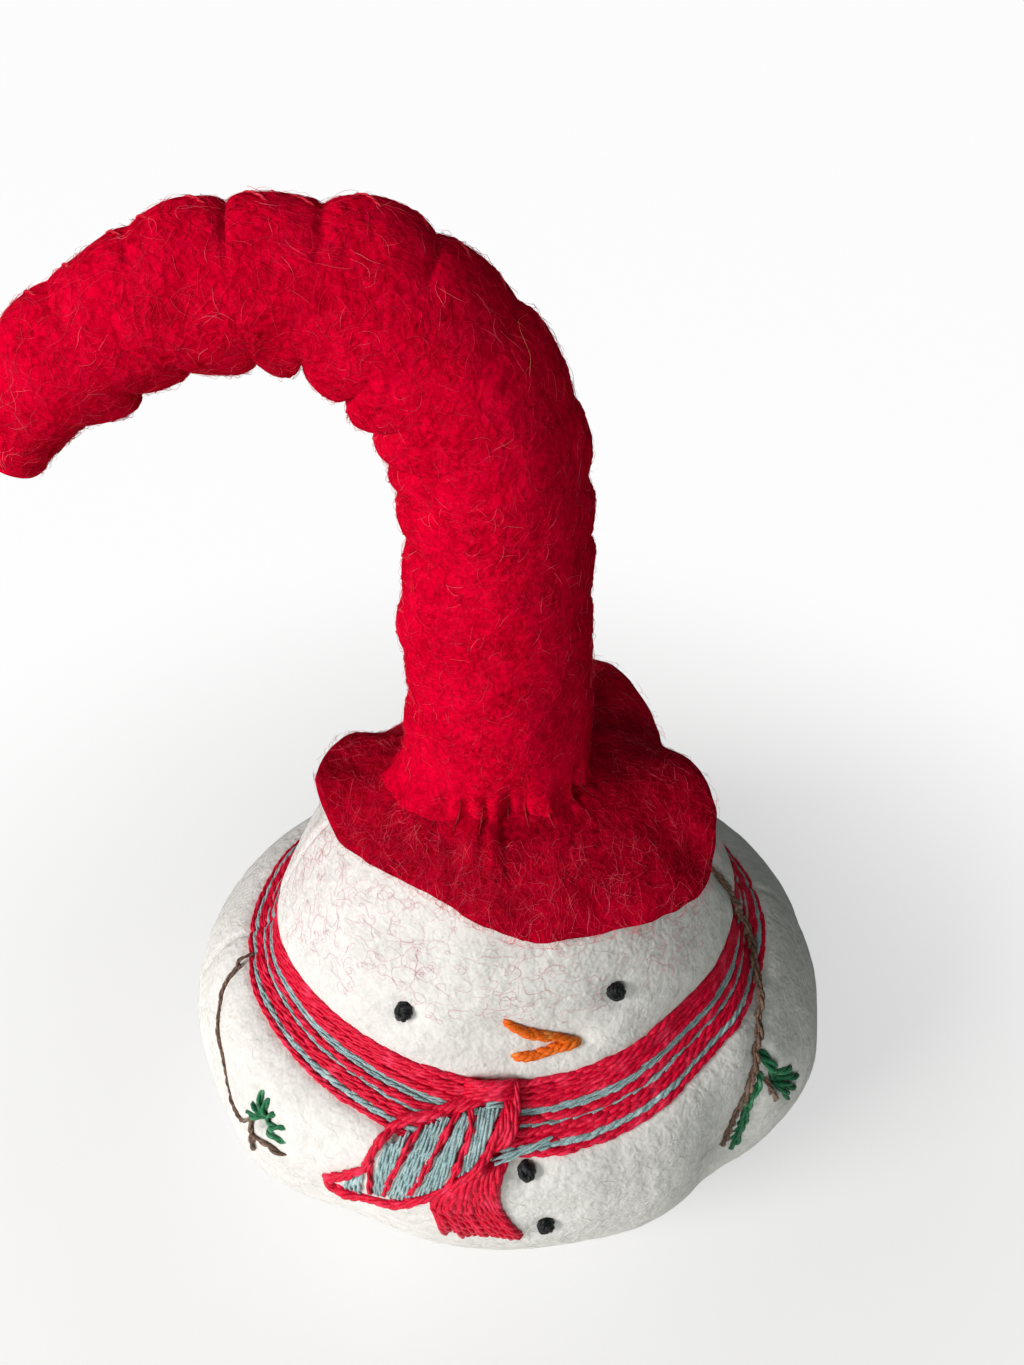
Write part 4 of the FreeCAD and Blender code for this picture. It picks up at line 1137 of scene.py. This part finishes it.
def add_fibres(name, points, up, kind):
    """Fine tubes that taper to both ends, some thicker than others."""
    thick = kind["thick"] * (0.6 + 0.8 * rng.random(len(points)))
    share = np.linspace(0, 1, kind["stops"])[None, :]
    radius = thick[:, None] * (0.35 + 0.65 * np.sin(np.pi * share) ** 0.5)
    add_mesh(name, *tube_mesh(points, up, radius, 3), kind["material"], kind["slot"])


def wandering(kind, along, count):
    """Fibres' paths that start at the places along; across, they start at 0."""
    return wander(np.stack([along, 0 * along], axis=1), kind["step"], kind["stops"], kind["curl"])


def body_fibres(name, count, where, kind):
    low, high, left, right = where
    distance = low + (high - low) * rng.random(count)
    bearing = left + (right - left) * rng.random(count)
    radius = np.maximum(around_radius(distance), 8)
    paths = wandering(kind, distance, count)
    far = np.clip(paths[..., 0], 1.0, felt_length - 0.5)
    turn = bearing[:, None] + np.degrees(paths[..., 1] / radius[:, None])
    points = felt_place(far, turn, loose_lift(count, kind["stops"], kind["most"]))
    add_fibres(name, points, felt_up(far, turn), kind)


def crown_fibres(name, count, where, kind):
    low, high, left, right = where
    distance = low + (high - low) * rng.random(count)
    middle = left + (right - left) * rng.random(count)
    paths = wandering(kind, distance, count)
    far = np.clip(paths[..., 0], 0.2, spine_length - 0.3)
    turn = middle[:, None] + np.degrees(paths[..., 1] / crown_half_width(far))
    points = crown_place(far, turn, loose_lift(count, kind["stops"], kind["most"]))
    add_fibres(name, points, crown_up(far, turn), kind)


def brim_fibres(name, count, kind):
    mean_radius = 14.0
    bearing = 360 * rng.random(count)
    share = rng.random(count) ** 0.7
    radius = crown_foot + (rim_at(bearing)[0] - crown_foot - 0.3) * share
    paths = wandering(kind, radius, count)
    turn = bearing[:, None] + np.degrees(paths[..., 1] / mean_radius)
    out = np.clip(paths[..., 0], crown_foot, rim_at(turn)[0] + 0.25)
    lift = loose_lift(count, kind["stops"], kind["most"]) + hat_felt
    points = brim_surface(out, turn, lift)
    add_fibres(name, points, unit(brim_surface(out, turn, lift + 0.5) - points), kind)


def fibre_kind(material, slot, most, thick, stops, step, curl):
    """How a kind of fibre looks: its greatest height over the felt, radius, corners and curl."""
    return {"material": material, "slot": slot, "most": most, "thick": thick, "stops": stops,
            "step": step, "curl": curl}


def make_fibres():
    white = fibre_kind(white_fibre, "white_felt", 0.12, 0.011, 7, 0.40, 0.8)
    lint = fibre_kind(pink_fibre, "red_felt", 0.20, 0.013, 16, 0.24, 1.3)
    red = fibre_kind(red_fibre, "red_felt", 0.40, 0.014, 6, 0.40, 0.4)
    pale = fibre_kind(pale_red_fibre, "red_felt", 0.30, 0.011, 6, 0.36, 0.5)
    tan = fibre_kind(tan_fibre, "red_felt", 0.40, 0.016, 18, 0.30, 0.4)
    body_fibres("body_white_fibres", 3600, (2.0, felt_length - 6, 0, 360), white)
    body_fibres("body_pink_lint", 480, (48, felt_length - 7, -95, 60), lint)
    whole_crown = (0.5, spine_length - 1.0, 0, 360)
    crown_fibres("crown_red_fibres", 5200, whole_crown, red)
    crown_fibres("crown_pale_fibres", 900, whole_crown, pale)
    crown_fibres("crown_tan_fibre", 1, (crown_rise + 6, crown_rise + 10, -50, -30), tan)
    brim_fibres("brim_red_fibres", 3000, {**red, "most": 0.35})
    brim_fibres("brim_pale_fibres", 900, pale)


# ================= inside and underneath =================

def make_fillings():
    """The fibre filling, seen only where a seam is opened: lumpy closed forms inside the felt."""
    distance = np.linspace(9.0, felt_length - 1, 60)[:, None]
    far, turn = np.broadcast_arrays(distance, full_turn(120))
    skin = body_point(far, turn, -2.6 + 0.6 * noise(body_point(far, turn), 4.0, 41))
    low, high = (np.array([0, 0, ring[:, 2].mean()]) for ring in (skin[0], skin[-1]))
    points = closed_skin(skin, low, (0.02,), high, (0.02,))
    piece = add_skin("body_filling", points, filling, "fibre_filling")
    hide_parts("body_stuffing")
    distance = np.linspace(0.5, spine_length - 2.5, 90)[:, None]
    far, turn = np.broadcast_arrays(distance, full_turn(60))
    skin = crown_point(far, turn, -2.4 + 0.4 * noise(crown_point(far, turn), 3.0, 42))
    points = closed_skin(skin, skin[0].mean(axis=0), (0.02,), skin[-1].mean(axis=0), (0.02,))
    piece = add_skin("crown_filling", points, filling, "fibre_filling")
    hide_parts("crown_stuffing")


def dress_nodes():
    """Materials for the CAD nodes that stay."""
    kept = {"base_card": card, "pellet_bag": pellets, "side_seam_stitches": white_thread,
            "base_seam_stitches": white_thread, "brim_tacks": red_thread}
    for name, material in kept.items():
        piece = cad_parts[name]
        piece.data.materials.clear()
        piece.data.materials.append(material)


# ================= camera, floor and light =================

def link(tree, *pairs):
    """Wire outputs to inputs in a node tree."""
    for start, stop in pairs:
        tree.links.new(start, stop)


def make_camera():
    """The photograph's view: its place, its 40 degrees down, and its wide angle."""
    data = bpy.data.cameras.new("camera")
    data.sensor_fit = "AUTO"
    data.sensor_width = 36.0
    photo_height = 1365        # pixels, the longer side, which the sensor's width goes with
    focal_pixels = 1040
    data.lens = data.sensor_width * focal_pixels / photo_height
    data.clip_start, data.clip_end = 0.005, 20.0
    camera = bpy.data.objects.new("camera", data)
    forward = Vector((0.0801, 0.7618, -0.6428)).normalized()
    right = Vector((0.9945, -0.1045, 0.0)).normalized()
    top = right.cross(forward)
    place = Vector((-7.447, -75.636, 128.0)) * MM
    camera.matrix_world = Matrix.Translation(place) @ Matrix((
        (right.x, top.x, -forward.x), (right.y, top.y, -forward.y),
        (right.z, top.z, -forward.z))).to_4x4()
    bpy.context.scene.collection.objects.link(camera)
    bpy.context.scene.camera = camera


def make_floor():
    """A plain pale floor that shows white to the camera and keeps a soft shadow."""
    mesh = bpy.data.meshes.new("floor")
    wide = 3.0
    mesh.from_pydata([(-wide, -wide, 0), (wide, -wide, 0), (wide, wide, 0), (-wide, wide, 0)], [],
                     [(0, 1, 2, 3)])
    floor = bpy.data.objects.new("floor", mesh)
    bpy.context.scene.collection.objects.link(floor)
    nodes = Nodes("floor")
    tree = nodes.tree
    grain = nodes.noise(30.0, 2.0)
    colour = nodes.mix(nodes.ramp(grain, 0.3, 0.7), srgb(243, 243, 242), srgb(246, 246, 245))
    seen = tree.nodes.new("ShaderNodeLightPath").outputs["Is Camera Ray"]
    away = tree.nodes.new("ShaderNodeVectorMath")
    away.operation = "LENGTH"
    link(tree, (nodes.place, away.inputs[0]))
    bounce = nodes.mix(nodes.ramp(away.outputs["Value"], 0.05, 0.16), srgb(244, 245, 243),
                       srgb(120, 122, 120))
    nodes.finish(Base_Color=nodes.mix(seen, bounce, colour), Roughness=0.9)
    glow = tree.nodes.new("ShaderNodeEmission")
    glow.inputs["Color"].default_value = (1, 1, 1, 1)
    share = nodes.math("MULTIPLY", seen, nodes.ramp(away.outputs["Value"], 0.03, 0.13, 0.55, 0.97))
    blend = tree.nodes.new("ShaderNodeMixShader")
    out = tree.nodes["Material Output"]
    link(tree, (share, blend.inputs[0]), (nodes.shader.outputs[0], blend.inputs[1]),
         (glow.outputs[0], blend.inputs[2]), (blend.outputs[0], out.inputs["Surface"]))
    mesh.materials.append(nodes.material)


def make_world():
    """White behind the object; a dimmer, even light on it."""
    world = bpy.data.worlds.new("studio")
    bpy.context.scene.world = world
    world.use_nodes = True
    tree = world.node_tree
    tree.nodes.clear()
    path = tree.nodes.new("ShaderNodeLightPath")
    most = tree.nodes.new("ShaderNodeMath")
    most.operation = "MAXIMUM"
    blend = tree.nodes.new("ShaderNodeMixShader")
    out = tree.nodes.new("ShaderNodeOutputWorld")
    link(tree, (path.outputs["Is Camera Ray"], most.inputs[0]),
         (path.outputs["Is Transmission Ray"], most.inputs[1]), (most.outputs[0], blend.inputs[0]),
         (blend.outputs[0], out.inputs["Surface"]))
    fill, white = ((0.92, 1.0, 0.96, 1), 0.15), ((1, 1, 1, 1), 1.0)
    for socket, (colour, strength) in zip(blend.inputs[1:], (fill, white)):
        light = tree.nodes.new("ShaderNodeBackground")
        light.inputs["Color"].default_value = colour
        light.inputs["Strength"].default_value = strength
        link(tree, (light.outputs[0], socket))


def make_lamp(name, place, aim, size, power, colour):
    data = bpy.data.lights.new(name, "AREA")
    data.shape = "DISK"
    data.size = size
    data.energy = power
    data.color = colour
    lamp = bpy.data.objects.new(name, data)
    place, aim = Vector(place), Vector(aim)
    lamp.location = place
    lamp.rotation_mode = "QUATERNION"
    lamp.rotation_quaternion = (aim - place).to_track_quat("-Z", "Y")
    bpy.context.scene.collection.objects.link(lamp)


make_camera()
make_floor()
make_world()
make_lamp("key", (-0.47, -0.23, 0.26), (0, 0, 0.05), 0.24, 3.2, (1.0, 0.96, 0.95))
make_lamp("front", (-0.14, -0.54, 0.20), (0, 0, 0.03), 0.38, 1.15, (0.96, 1.0, 0.97))
make_body()
make_base()
make_scarf_rows()
make_face()
make_arms()
make_sprigs()
make_tails()
make_scarf_knot()
make_brim()
make_crown()
make_whips()
make_gathers()
make_fibres()
make_fillings()
dress_nodes()
bpy.context.scene.view_settings.view_transform = "Standard"
